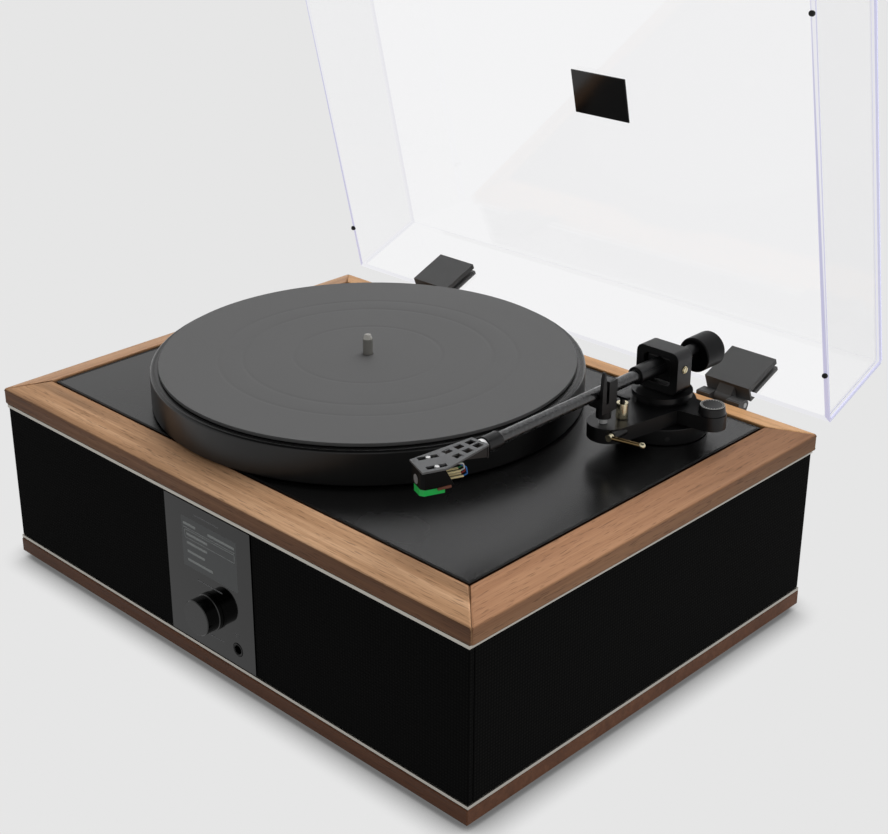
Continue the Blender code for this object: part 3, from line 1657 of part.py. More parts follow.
def make_lever():
    """The brass cueing lever: a shaft in the casting, a hub, and a rod between two balls."""
    hub_front = lever_y - GAP - LEVER_HUB_LENGTH
    lever = rod(
        "cueing_lever",
        LEVER_SHAFT_RADIUS,
        (lever_x, lever_y - GAP - LEVER_HUB_LENGTH / 2, lever_z),
        LEVER_HUB_LENGTH / 2 + GAP + LEVER_SHAFT_DEPTH,
        "Y",
        "brass",
    )
    hub = rod(
        "lever_hub", LEVER_HUB_RADIUS, (lever_x, hub_front, lever_z), LEVER_HUB_LENGTH, "Y"
    )
    start = Vector((lever_x, hub_front + LEVER_ROD_RADIUS, lever_z))
    reach = Vector((LEVER_REACH_X, LEVER_REACH_Y, LEVER_REACH_Z))
    work = bmesh.new()
    bmesh.ops.create_cone(
        work,
        cap_ends=True,
        segments=12,
        radius1=LEVER_ROD_RADIUS,
        radius2=LEVER_ROD_RADIUS,
        depth=reach.length,
    )
    handle = add_object("lever_rod", finish_mesh("lever_rod", work), None, start + reach / 2)
    handle.rotation_euler = reach.to_track_quat("Z", "Y").to_euler()
    work = bmesh.new()
    bmesh.ops.create_uvsphere(work, u_segments=12, v_segments=8, radius=LEVER_BALL_RADIUS)
    ball = add_object("lever_ball", finish_mesh("lever_ball", work), None, start + reach)
    join(lever, hub, handle, ball)


def make_skate_knob():
    top = casting_top + GAP + SKATE_HEIGHT
    turned(
        "anti_skate_knob",
        [
            (0, top),
            (SKATE_TOP_RADIUS - SKATE_CHAMFER, top),
            (SKATE_TOP_RADIUS, top - SKATE_CHAMFER),
            (SKATE_BASE_RADIUS, casting_top + GAP),
            (0, casting_top + GAP),
        ],
        "arm_black",
        (*right_lobe, 0),
        count=24,
    )


def cover_place(along, outward):
    """A place by the cover's hinge-side wall, closed: along it from the rim, and out from it."""
    slope = COVER_SLANT / rear_wall_length
    rise = COVER_DEPTH / rear_wall_length
    return (
        -(rim_rear + along * slope - outward * rise),
        rim_level + along * rise + outward * slope,
    )


def make_cover():
    """The clear cover, one open box with its hinge-side wall leaning in."""
    hinge = pivot("cover_pivot", (0, pin_y, pin_z), (-COVER_OPEN_ANGLE, 0, 0))
    length = rim_front - rim_rear
    size = Vector((cabinet_width, length, COVER_DEPTH))
    middle = Vector((0, -(rim_rear + rim_front) / 2, rim_level + COVER_DEPTH / 2))
    work = bmesh.new()
    bmesh.ops.create_cube(work, size=1)
    bmesh.ops.scale(work, vec=size, verts=work.verts)
    hinge_roof = [vert for vert in work.verts if vert.co.y > 0 and vert.co.z > 0]
    bmesh.ops.translate(work, vec=(0, -COVER_SLANT, 0), verts=hinge_roof)
    work.faces.ensure_lookup_table()
    rim = min(work.faces, key=lambda face: face.calc_center_median().z)
    bmesh.ops.delete(work, geom=[rim], context="FACES_ONLY")
    cover = add_object("dust_cover", finish_mesh("dust_cover", work), "acrylic", middle, parent=hinge)
    shell = cover.modifiers.new("Wall", "SOLIDIFY")
    shell.thickness = COVER_WALL
    shell.offset = -1
    shell.use_even_offset = True
    badge_y = -(rim_rear + COVER_SLANT + BADGE_REACH)
    badge_top = roof_level - COVER_WALL - GAP
    block(
        "cover_badge",
        (BADGE_X - BADGE_WIDTH / 2, badge_y - BADGE_LENGTH / 2, badge_top - BADGE_THICKNESS),
        (BADGE_X + BADGE_WIDTH / 2, badge_y + BADGE_LENGTH / 2, badge_top),
        "gloss_plastic",
        hinge,
    )
    make_hinge("left", LEFT_HINGE_INSET - half_width, hinge)
    make_hinge("right", half_width - RIGHT_HINGE_INSET, hinge)


def make_hinge(side, across, hinge):
    """A clip that grips the cover's wall and turns on a pin between its bracket's leaves."""
    inner = -COVER_WALL - GAP
    outer_face = GAP + CLIP_LOWER
    section = [
        cover_place(-GAP, GAP),
        cover_place(-GAP, inner),
        cover_place(CLIP_REACH, inner),
        cover_place(CLIP_REACH, inner - CLIP_UPPER),
        cover_place(-GAP - CLIP_LIP, inner - CLIP_UPPER),
        cover_place(-GAP - CLIP_LIP, outer_face),
        cover_place(CLIP_REACH, outer_face),
        cover_place(CLIP_REACH, GAP),
    ]
    clip = outline(
        f"{side}_hinge_clip", [section], CLIP_WIDTH, "matt_plastic", (across, 0, 0), "YZ", hinge
    )
    knuckle = rod(
        f"{side}_knuckle",
        KNUCKLE_RADIUS,
        (across - KNUCKLE_WIDTH / 2, 0, 0),
        KNUCKLE_WIDTH,
        "X",
        parent=hinge,
    )
    web = outline(
        f"{side}_web",
        [
            [
                (-KNUCKLE_RADIUS, 0),
                cover_place(-GAP - CLIP_LIP / 2, inner - CLIP_UPPER / 2),
                cover_place(-GAP - CLIP_LIP / 2, GAP * 2),
                cover_place(CLIP_LIP, outer_face - GAP),
                (KNUCKLE_RADIUS, 0),
            ]
        ],
        KNUCKLE_WIDTH - GAP,
        at=(across, 0, 0),
        plane="YZ",
        parent=hinge,
    )
    bore = rod(
        f"{side}_knuckle_bore",
        PIN_RADIUS + GAP,
        (across - CLIP_WIDTH / 2, 0, 0),
        CLIP_WIDTH,
        "X",
        parent=hinge,
    )
    join(clip, web, knuckle)
    cut(clip, bore)
    make_bracket(side, across)


def make_bracket(side, across):
    """The bracket screwed to the back of the frame: a plate with two leaves for the pin."""
    plate_y = half_depth + GAP
    leaf_edge = KNUCKLE_WIDTH / 2 + GAP
    leaf_bottom = pin_z - LEAF_DROP
    bracket = block(
        f"{side}_hinge_bracket",
        (across - leaf_edge - LEAF_THICKNESS, plate_y, pin_z - BRACKET_DROP),
        (
            across + leaf_edge + LEAF_THICKNESS,
            plate_y + BRACKET_THICKNESS,
            pin_z + LEAF_RADIUS - GAP,
        ),
        "matt_plastic",
    )
    sunk = plate_y + BRACKET_THICKNESS / 2
    leaf = [(sunk, leaf_bottom)] + arc((pin_y, pin_z), LEAF_RADIUS, -30, 90, 8)
    leaf.append((sunk, pin_z + LEAF_RADIUS))
    for end in (-1, 1):
        middle = across + end * (leaf_edge + LEAF_THICKNESS / 2)
        join(
            bracket,
            outline(
                f"{side}_leaf_{end}",
                [leaf],
                LEAF_THICKNESS - GAP,
                at=(middle, 0, 0),
                plane="YZ",
            ),
        )
    bore = rod(
        f"{side}_leaf_bore",
        PIN_RADIUS + GAP,
        (across - CLIP_WIDTH, pin_y, pin_z),
        CLIP_WIDTH * 2,
        "X",
    )
    notch = block(
        f"{side}_notch",
        (across - leaf_edge, plate_y - OVERRUN, pin_z - KNUCKLE_RADIUS),
        (across + leaf_edge, plate_y + BRACKET_THICKNESS + OVERRUN, pin_z + LEAF_RADIUS * 2),
    )
    cut(bracket, bore, notch)
    pin_length = KNUCKLE_WIDTH + (GAP + LEAF_THICKNESS) * 2
    rod(
        f"{side}_hinge_pin",
        PIN_RADIUS,
        (across - pin_length / 2, pin_y, pin_z),
        pin_length,
        "X",
        "brushed_steel",
    )


def make_looks():
    return {
        "walnut": make_material("walnut", (0.30, 0.15, 0.07), 0.5),
        "rubber": make_material("rubber", (0.05, 0.05, 0.05), 0.8),
        "aluminium": make_material("aluminium", (0.42, 0.40, 0.37), 0.35, 1),
        "cloth": make_material("grille_cloth", (0.006, 0.006, 0.006), 0.95),
        "fibreboard": make_material("fibreboard", (0.16, 0.10, 0.06), 0.9),
        "black_paint": make_material("black_paint", (0.012, 0.012, 0.012), 0.6),
        "deck_paint": make_material("deck_paint", (0.04, 0.04, 0.04), 0.45),
        "panel_metal": make_material("panel_metal", (0.05, 0.05, 0.05), 0.5, 0.5),
        "screen_glass": make_material("screen_glass", (0.07, 0.08, 0.08), 0.15),
        "gloss_plastic": make_material("gloss_plastic", (0.005, 0.005, 0.005), 0.15),
        "matt_plastic": make_material("matt_plastic", (0.015, 0.015, 0.015), 0.5),
        "brushed_steel": make_material("brushed_steel", (0.5, 0.5, 0.5), 0.3, 1),
        "driver_black": make_material("driver_black", (0.02, 0.02, 0.02), 0.7),
        "circuit_green": make_material("circuit_green", (0.02, 0.10, 0.04), 0.5),
        "platter_black": make_material("platter_black", (0.01, 0.01, 0.01), 0.35),
        "chrome": make_material("chrome", (0.7, 0.7, 0.68), 0.1, 1),
        "brass": make_material("brass", (0.6, 0.45, 0.2), 0.2, 1),
        "arm_black": make_material("arm_black", (0.012, 0.012, 0.012), 0.35),
        "carbon_fibre": make_material("carbon_fibre", (0.03, 0.03, 0.03), 0.25),
        "counterweight_black": make_material("counterweight_black", (0.01, 0.01, 0.01), 0.4),
        "headshell_grey": make_material("headshell_grey", (0.10, 0.10, 0.10), 0.4, 0.5),
        "stylus_green": make_material("stylus_green", (0.01, 0.25, 0.06), 0.35),
        "acrylic": make_material("acrylic", (0.9, 0.9, 0.95), 0.05, 0, 0.35),
    }


clear_scene()
tools = new_collection("cutters")
parts = new_collection(OBJECT_NAME)
looks = make_looks()
make_base()
make_trim("lower_trim", lower_trim_bottom, LOWER_TRIM_HEIGHT)
make_trim("upper_trim", upper_trim_bottom, UPPER_TRIM_HEIGHT)
make_walls()
make_frame()
make_deck()
make_control_panel()
make_drivers()
make_amplifier()
make_rear_panel()
make_platter()
make_drive()
make_arm_base()
make_yoke()
make_arm_rest()
make_lift()
make_lever()
make_skate_knob()
make_cover()
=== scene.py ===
# Looks for the all-in-one record player: finishes, small fittings, studio and camera
# Metres, +Z up, the controls face -Y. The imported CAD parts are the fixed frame.

import json
import math

import bpy
from mathutils import Matrix, Quaternion, Vector

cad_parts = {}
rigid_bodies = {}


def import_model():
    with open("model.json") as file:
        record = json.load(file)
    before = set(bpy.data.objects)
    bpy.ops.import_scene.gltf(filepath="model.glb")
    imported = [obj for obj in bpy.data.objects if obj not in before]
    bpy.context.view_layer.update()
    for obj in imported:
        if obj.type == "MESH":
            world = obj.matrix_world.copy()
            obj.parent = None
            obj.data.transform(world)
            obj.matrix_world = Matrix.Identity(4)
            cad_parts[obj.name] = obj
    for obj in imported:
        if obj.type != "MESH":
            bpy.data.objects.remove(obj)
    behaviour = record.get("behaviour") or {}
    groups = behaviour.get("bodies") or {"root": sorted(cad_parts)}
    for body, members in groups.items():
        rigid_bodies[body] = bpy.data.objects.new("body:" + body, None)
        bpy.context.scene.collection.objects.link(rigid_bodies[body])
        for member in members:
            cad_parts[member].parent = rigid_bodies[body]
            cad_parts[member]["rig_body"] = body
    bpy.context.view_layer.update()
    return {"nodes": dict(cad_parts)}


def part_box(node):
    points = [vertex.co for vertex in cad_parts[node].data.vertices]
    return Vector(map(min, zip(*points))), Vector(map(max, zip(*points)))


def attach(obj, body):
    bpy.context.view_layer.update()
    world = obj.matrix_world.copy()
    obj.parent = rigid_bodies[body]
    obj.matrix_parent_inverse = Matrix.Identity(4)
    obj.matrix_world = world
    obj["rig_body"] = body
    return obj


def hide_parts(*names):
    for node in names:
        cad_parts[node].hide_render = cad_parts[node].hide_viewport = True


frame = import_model()
nodes = frame["nodes"]
print("loaded", len(nodes), "CAD nodes")


# Small helpers

def pick(piece):
    # only this piece is selected and active
    bpy.ops.object.select_all(action="DESELECT")
    piece.select_set(True)
    bpy.context.view_layer.objects.active = piece


def fresh():
    # nothing selected, so that a new primitive is alone
    bpy.ops.object.select_all(action="DESELECT")


def facesWhere(piece, test):
    # edit mode, with just the faces that pass the test selected
    pick(piece)
    editMode()
    bpy.ops.mesh.select_all(action="DESELECT")
    bpy.ops.mesh.select_mode(type="FACE")
    objectMode()
    for face in piece.data.polygons:
        face.select = bool(test(face))
    editMode()


def editMode():
    bpy.ops.object.mode_set(mode="EDIT")


def objectMode():
    bpy.ops.object.mode_set(mode="OBJECT")


def editAll():
    # edit mode with everything selected
    editMode()
    bpy.ops.mesh.select_all(action="SELECT")


def applyPlace():
    # the active object's place, turn and size go into its mesh
    bpy.ops.object.transform_apply(location=True, rotation=True, scale=True)


def block(centre, size):
    # a new box
    fresh()
    bpy.ops.mesh.primitive_cube_add(size=1, location=centre, scale=size)
    applyPlace()
    return bpy.context.object


def cylinder(sides, radius, depth, centre, turn=(0, 0, 0)):
    fresh()
    bpy.ops.mesh.primitive_cylinder_add(
        vertices=sides, radius=radius, depth=depth, location=centre, rotation=turn)
    applyPlace()
    return bpy.context.object


def applyBevel(piece, width, segments=2, angle=35):
    pick(piece)
    bevel = piece.modifiers.new("edge", "BEVEL")
    bevel.width = width
    bevel.segments = segments
    bevel.limit_method = "ANGLE"
    bevel.angle_limit = math.radians(angle)
    bpy.ops.object.modifier_apply(modifier="edge")


def bevelRail(piece, width):
    # softens the long edges, leaves the mitred ends crisp and then closes the hairline at the mitres
    mesh = piece.data
    lowest = [min(vertex.co[axis] for vertex in mesh.vertices) for axis in range(3)]
    highest = [max(vertex.co[axis] for vertex in mesh.vertices) for axis in range(3)]
    mitred = [abs(face.normal.x) > 0.5 and abs(face.normal.y) > 0.5 for face in mesh.polygons]
    touching = {}
    for face in mesh.polygons:
        for key in face.edge_keys:
            touching.setdefault(key, []).append(face.index)
    pick(piece)
    editMode()
    bpy.ops.mesh.select_mode(type="EDGE")
    bpy.ops.mesh.select_all(action="DESELECT")
    objectMode()
    for edge in mesh.edges:
        pair = touching.get(edge.key, [])
        if len(pair) == 2 and not (mitred[pair[0]] or mitred[pair[1]]):
            turned = mesh.polygons[pair[0]].normal.angle(mesh.polygons[pair[1]].normal)
            edge.select = turned > math.radians(35)
    editMode()
    bpy.ops.mesh.bevel(offset=width, segments=2, affect="EDGES")
    objectMode()
    for vertex in mesh.vertices:   # a bevel can run past a sharp mitre's tip
        vertex.co = [min(max(vertex.co[axis], lowest[axis]), highest[axis]) for axis in range(3)]
    mesh.update()
    closing = cabinetEdges["closing"]
    acrossFront = piece.dimensions.x > piece.dimensions.y
    for wayX, wayY in ((1, 1), (1, -1), (-1, 1), (-1, -1)):
        facesWhere(piece, lambda face: face.normal.x * wayX > 0.5 and face.normal.y * wayY > 0.5)
        if piece.data.total_face_sel:
            move = (wayX * closing, 0, 0) if acrossFront else (0, wayY * closing, 0)
            bpy.ops.mesh.extrude_region_move(TRANSFORM_OT_translate={"value": move})
        objectMode()


def settle(piece, name, material, body, stands=()):
    # place into the mesh, shade, name, and hand over to the frame
    pick(piece)
    applyPlace()
    bpy.ops.object.shade_smooth_by_angle(angle=math.radians(32))
    # large flat faces keep a flat shine right up to their rounded edges
    even = piece.modifiers.new("even", "WEIGHTED_NORMAL")
    even.keep_sharp = True
    bpy.ops.object.modifier_apply(modifier="even")
    piece.name = name
    piece.data.name = name
    piece.data.materials.clear()
    piece.data.materials.append(material)
    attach(piece, body)
    if stands:
        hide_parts(*stands)
    return piece


def dressed(node, material, edge, segments=2, angle=35, rail=False):
    # a merged copy of a CAD node with softened edges, which then stands for it
    source = nodes[node]
    piece = bpy.data.objects.new(node + "_finished", source.data.copy())
    bpy.context.collection.objects.link(piece)
    pick(piece)
    bpy.ops.mesh.customdata_custom_splitnormals_clear()
    editAll()
    bpy.ops.mesh.remove_doubles(threshold=0.00001)
    bpy.ops.mesh.dissolve_limited(angle_limit=math.radians(0.5))
    objectMode()
    if rail:
        bevelRail(piece, edge)
    elif edge:
        applyBevel(piece, edge, segments, angle)
    return settle(piece, node + "_finished", material, source["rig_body"], [node])


def addLook(piece, look, test):
    # one more finish, for just the faces that pass the test
    piece.data.materials.append(finish[look])
    for face in piece.data.polygons:
        if test(face):
            face.material_index = len(piece.data.materials) - 1


def finishNode(node, material):
    # a CAD node that stays as it is and only gets its material
    nodes[node].data.materials.clear()
    nodes[node].data.materials.append(material)


def rodBetween(name, start, end, radius, material, body, sides, soft=0.25):
    # a round bar from one place to another, with softened ends
    start, end = Vector(start), Vector(end)
    way = end - start
    bar = cylinder(sides, radius, way.length, (start + end) / 2, way.to_track_quat("Z", "Y").to_euler())
    applyBevel(bar, min(radius, way.length / 2) * soft, 2)
    return settle(bar, name, material, body)


def ringAt(name, centre, outward, radius, thickness, material, body, sides=48):
    # a thin round ring lying square to a direction
    fresh()
    bpy.ops.mesh.primitive_torus_add(
        major_radius=radius, minor_radius=thickness, major_segments=sides, minor_segments=8,
        location=centre, rotation=Vector(outward).to_track_quat("Z", "Y").to_euler())
    return settle(bpy.context.object, name, material, body)


def slottedHead(name, centre, outward, radius, height, turn, material, body):
    # a screw head with a sawn slot across it
    facing = Vector(outward).to_track_quat("Z", "Y")
    head = cylinder(28, radius, height, centre, facing.to_euler())
    applyBevel(head, radius * 0.16, 2)
    fresh()
    across = facing @ Quaternion((0, 0, 1), math.radians(turn))
    bpy.ops.mesh.primitive_cube_add(
        size=1, location=Vector(centre) + facing @ Vector((0, 0, height / 2)), rotation=across.to_euler(),
        scale=(radius * 3, radius * 0.36, height))
    saw = bpy.context.object
    pick(head)
    slot = head.modifiers.new("slot", "BOOLEAN")
    slot.operation = "DIFFERENCE"
    slot.solver = "EXACT"
    slot.object = saw
    bpy.ops.object.modifier_apply(modifier="slot")
    bpy.data.objects.remove(saw, do_unlink=True)
    return settle(head, name, material, body)


def colour(code):
    # sRGB hex to linear light
    parts = [int(code[i:i + 2], 16) / 255 for i in (1, 3, 5)]
    return [c / 12.92 if c <= 0.04045 else ((c + 0.055) / 1.055) ** 2.4 for c in parts] + [1]


def addNode(tree, kind, inputs=None, **settings):
    # one node: its settings, then its inputs as values or as sockets to link
    made = tree.nodes.new(kind)
    for key, value in settings.items():
        setattr(made, key, value)
    for key, value in (inputs or {}).items():
        if isinstance(value, bpy.types.NodeSocket):
            tree.links.new(value, made.inputs[key])
        else:
            made.inputs[key].default_value = value
    return made


def calc(tree, how, first, second, **settings):
    return addNode(tree, "ShaderNodeMath", {0: first, 1: second}, operation=how, **settings).outputs["Value"]


def noise(tree, vector, scale, detail, **more):
    inputs = {"Vector": vector, "Scale": scale, "Detail": detail, **more}
    return addNode(tree, "ShaderNodeTexNoise", inputs).outputs["Fac"]


def mapped(tree, vector, **how):
    # moved, turned or scaled coordinates
    return addNode(tree, "ShaderNodeMapping", {"Vector": vector, **how}).outputs["Vector"]


def startMaterial(name, base, roughness, **sockets):
    # a Principled material with constants on its sockets, and Object coordinates to build on
    material = bpy.data.materials.new(name)
    material.use_nodes = True
    tree = material.node_tree
    shader = tree.nodes["Principled BSDF"]
    shader.inputs["Base Color"].default_value = colour(base)
    shader.inputs["Roughness"].default_value = roughness
    for key, value in sockets.items():
        shader.inputs[key.replace("_", " ")].default_value = value
    place = tree.nodes.new("ShaderNodeTexCoord").outputs["Object"]
    return material, tree, shader, place


def bump(tree, shader, height, distance, strength):
    made = addNode(tree, "ShaderNodeBump", {"Height": height, "Distance": distance, "Strength": strength})
    tree.links.new(made.outputs["Normal"], shader.inputs["Normal"])


def ramp(tree, factor, stops):
    # colours at places along a pattern
    made = addNode(tree, "ShaderNodeValToRGB", {"Fac": factor})
    band = made.color_ramp
    while len(band.elements) < len(stops):
        band.elements.new(0.5)
    for element, (place, code) in zip(band.elements, stops):
        element.position = place
        element.color = colour(code)
    return made.outputs["Color"]


def shades(tree, factor, low, high, fromLow=0, fromHigh=1):
    # spreads a pattern between two numbers
    made = addNode(tree, "ShaderNodeMapRange", {
        "Value": factor, "From Min": fromLow, "From Max": fromHigh, "To Min": low, "To Max": high})
    return made.outputs["Result"]


def waveScale(band):
    # the scale at which each light or dark band of a wave texture is about this wide
    return 1 / band / 6.3


def blendColour(tree, factor, first, second):
    # from the first to the second, each a colour or a socket
    made = addNode(tree, "ShaderNodeMix", {"Factor": factor}, data_type="RGBA", blend_type="MIX")
    for socket, value in ((made.inputs[6], first), (made.inputs[7], second)):
        if isinstance(value, bpy.types.NodeSocket):
            tree.links.new(value, socket)
        else:
            socket.default_value = value
    return made.outputs[2]


# Finishes

walnutLook = {
    "pore": "#3f281b",
    # m along and across the board
    "broad": (0.30, 0.030),
    "streak": (0.22, 0.0045),
    "fibre": (0.035, 0.0008),    # real fibres are 0.1 mm; drawn coarser so that they show
    "poreSize": (0.011, 0.0008),
    "linePatch": (0.16, 0.034),  # growth lines show in patches of this size
    "lineWidth": 0.0085,         # m, each lighter or darker growth band
}


def oiledWalnut(name, turn, shift, heart, mid, sap, lines=0.45, darker=(0, 1, 0)):
    # oiled walnut veneer, planed: long straight streaks, a few dark growth lines, fine pores, soft sheen
    look = walnutLook
    material, tree, shader, place = startMaterial(name, mid, 0.5, IOR=1.3)
    # the board is turned so that its grain runs along X
    board = mapped(tree, place, Rotation=(0, 0, math.radians(turn)), Location=shift)

    def stretched(size, detail, distortion=0.0):
        alongGrain, acrossGrain = size
        fit = mapped(tree, board, Scale=(1 / alongGrain, 1 / acrossGrain, 1 / acrossGrain))
        return noise(tree, fit, 1, detail, Roughness=0.55, Distortion=distortion)

    broad = stretched(look["broad"], 3, 0.3)
    streaks = stretched(look["streak"], 2)
    fibres = stretched(look["fibre"], 2)
    pores = stretched(look["poreSize"], 1)
    tone = addNode(tree, "ShaderNodeMix", {"Factor": 0.42, "A": broad, "B": streaks}).outputs["Result"]
    tone = addNode(tree, "ShaderNodeMix", {"Factor": 0.24, "A": tone, "B": fibres}).outputs["Result"]
    base = ramp(tree, tone, [(0.36, heart), (0.5, mid), (0.62, sap)])
    # painted shade: the board darkens towards one end (the right rail towards its rear)
    start, end, amount = darker
    alongBoard = addNode(tree, "ShaderNodeSeparateXYZ", {"Vector": board}).outputs["X"]
    base = blendColour(tree, shades(tree, alongBoard, 0, amount, start, end), base, colour(look["pore"]))
    # growth lines: narrow, slightly wavering, and only in some parts of the board
    waver = mapped(tree, board, Scale=(0.10, 1, 1))
    growth = addNode(tree, "ShaderNodeTexWave", {
        "Vector": waver, "Scale": waveScale(look["lineWidth"]), "Distortion": 7, "Detail": 2,
        "Detail Scale": 0.5, "Detail Roughness": 0.55}, bands_direction="Y").outputs["Fac"]
    narrow = shades(tree, growth, 1, 0, 0.0, 0.34)
    where = shades(tree, stretched(look["linePatch"], 1), 0, lines, 0.48, 0.66)
    marks = calc(tree, "MULTIPLY", narrow, where)
    lined = blendColour(tree, marks, base, colour(look["pore"]))
    flecks = shades(tree, pores, 0, 0.42, 0.60, 0.70)
    tree.links.new(blendColour(tree, flecks, lined, colour(look["pore"])), shader.inputs["Base Color"])
    tree.links.new(shades(tree, fibres, 0.44, 0.58, 0.3, 0.7), shader.inputs["Roughness"])
    bump(tree, shader, pores, 0.00006, 0.4)
    return material


def brushedAluminium(name, base, roughness):
    # thin aluminium strip, brushed along its length: fine streaks break up the shine
    material, tree, shader, place = startMaterial(name, base, roughness, Metallic=0.9)
    streaks = noise(tree, mapped(tree, place, Scale=(60, 60, 2600)), 1, 3)
    tree.links.new(shades(tree, streaks, roughness - 0.07, roughness + 0.1), shader.inputs["Roughness"])
    bump(tree, shader, streaks, 0.00003, 0.4)
    return material


# m; real stitches are 0.5 mm, drawn coarser so that they show
clothLook = {"thread": "#1b1b1a", "gap": "#060606", "stitch": 0.0011}


def acousticCloth(name):
    # knitted black speaker cloth, stretched: no shine, a fine even weave
    look = clothLook
    material, tree, shader, place = startMaterial(name, look["thread"], 1.0, IOR=1.2)
    step = waveScale(look["stitch"])
    across = addNode(tree, "ShaderNodeTexWave", {"Vector": place, "Scale": step}, bands_direction="Z")
    slanted = mapped(tree, place, Rotation=(0, 0, math.radians(45)))
    along = addNode(tree, "ShaderNodeTexWave", {"Vector": slanted, "Scale": step * 1.41},
                    bands_direction="X")
    weave = calc(tree, "MULTIPLY", across.outputs["Fac"], along.outputs["Fac"])
    threads = ramp(tree, weave, [(0.1, look["gap"]), (0.8, look["thread"])])
    tree.links.new(threads, shader.inputs["Base Color"])
    bump(tree, shader, weave, 0.0002, 0.6)
    return material


def coated(name, base, roughness, grainSize, depth, metallic=0.0, vary=0.06, ior=1.5):
    # paint, powder coat, anodising or moulded plastic: a fine even grain in sheen and surface
    material, tree, shader, place = startMaterial(name, base, roughness, Metallic=metallic, IOR=ior)
    grain = noise(tree, place, 1 / grainSize, 2, Roughness=0.6)
    cloudy = noise(tree, place, 14, 3)
    tree.links.new(shades(tree, cloudy, roughness - vary, roughness + vary), shader.inputs["Roughness"])
    bump(tree, shader, grain, depth, 0.5)
    return material


def turnedMetal(name, base, roughness, centre, ringWidth, metallic=1.0):
    # metal from a lathe: faint rings round its own upright axis
    material, tree, shader, place = startMaterial(name, base, roughness, Metallic=metallic)
    middle = mapped(tree, place, Location=[-value for value in centre])
    rings = addNode(tree, "ShaderNodeTexWave", {
        "Vector": middle, "Scale": waveScale(ringWidth), "Distortion": 0.6, "Detail": 2},
        wave_type="RINGS", rings_direction="Z").outputs["Fac"]
    tree.links.new(shades(tree, rings, roughness - 0.05, roughness + 0.07), shader.inputs["Roughness"])
    bump(tree, shader, rings, 0.00003, 0.35)
    return material


def polishedMetal(name, base, roughness):
    # plated or polished metal: mirror bright with the faintest handling haze
    material, tree, shader, place = startMaterial(name, base, roughness, Metallic=1.0)
    haze = noise(tree, place, 300, 2)
    tree.links.new(shades(tree, haze, roughness - 0.03, roughness + 0.06), shader.inputs["Roughness"])
    return material


carbonLook = {
    "dark": "#0b0b0c", "paintedGlint": "#2c2d2f", "tow": 0.0030,
    "centre": (0.151, 0.0, 0.1808), "radius": 0.004,   # m, the tube that the weave wraps
}


def wovenCarbon(name):
    # carbon twill under clear lacquer: diagonal tows, with painted glints in a lighter colour where the tows
    # would catch the light in turn
    look = carbonLook
    material, tree, shader, place = startMaterial(
        name, look["dark"], 0.3, IOR=1.5, Coat_Weight=0.7, Coat_Roughness=0.12)
    middle = mapped(tree, place, Location=[-value for value in look["centre"]])
    parts = addNode(tree, "ShaderNodeSeparateXYZ", {"Vector": middle})
    turned = calc(tree, "ARCTAN2", parts.outputs["Z"], parts.outputs["X"])
    wrapped = calc(tree, "MULTIPLY", turned, look["radius"])
    flat = addNode(tree, "ShaderNodeCombineXYZ", {"X": wrapped, "Y": parts.outputs["Y"]}).outputs["Vector"]
    step = waveScale(look["tow"])
    over = addNode(tree, "ShaderNodeTexWave", {
        "Vector": flat, "Scale": step, "Distortion": 0.8, "Detail": 2},
        bands_direction="DIAGONAL").outputs["Fac"]
    under = addNode(tree, "ShaderNodeTexWave", {
        "Vector": mapped(tree, flat, Scale=(-1, 1, 1)), "Scale": step * 2, "Distortion": 0.8},
        bands_direction="DIAGONAL").outputs["Fac"]
    weave = calc(tree, "MULTIPLY", over, under)
    tows = ramp(tree, weave, [(0.3, look["dark"]), (0.9, look["paintedGlint"])])
    tree.links.new(tows, shader.inputs["Base Color"])
    tree.links.new(shades(tree, over, 0.22, 0.42), shader.inputs["Roughness"])
    bump(tree, shader, weave, 0.00006, 0.5)
    return material


acrylicLook = {
    "sheet": "#ffffff", "wall": "#f8f8f8", "edge": "#c4c4dc", "seam": "#101010",
    "glow": "#cdcdea", "paleGlow": "#eaeaee",
    "ior": 1.32,   # real acrylic has 1.49; this lower one keeps its reflections faint, as in the photo
}


def castAcrylic(name, base, clear, low, high, glow=0.0, tint="glow"):
    # clear cast acrylic: see-through sheet with a faint uneven haze; the light that its polished edges
    # gather is painted in as a glow
    material, tree, shader, place = startMaterial(
        name, base, low, IOR=acrylicLook["ior"], Transmission_Weight=clear,
        Emission_Color=colour(acrylicLook[tint]), Emission_Strength=glow)
    haze = noise(tree, place, 5, 2)
    tree.links.new(shades(tree, haze, low, high), shader.inputs["Roughness"])
    return material


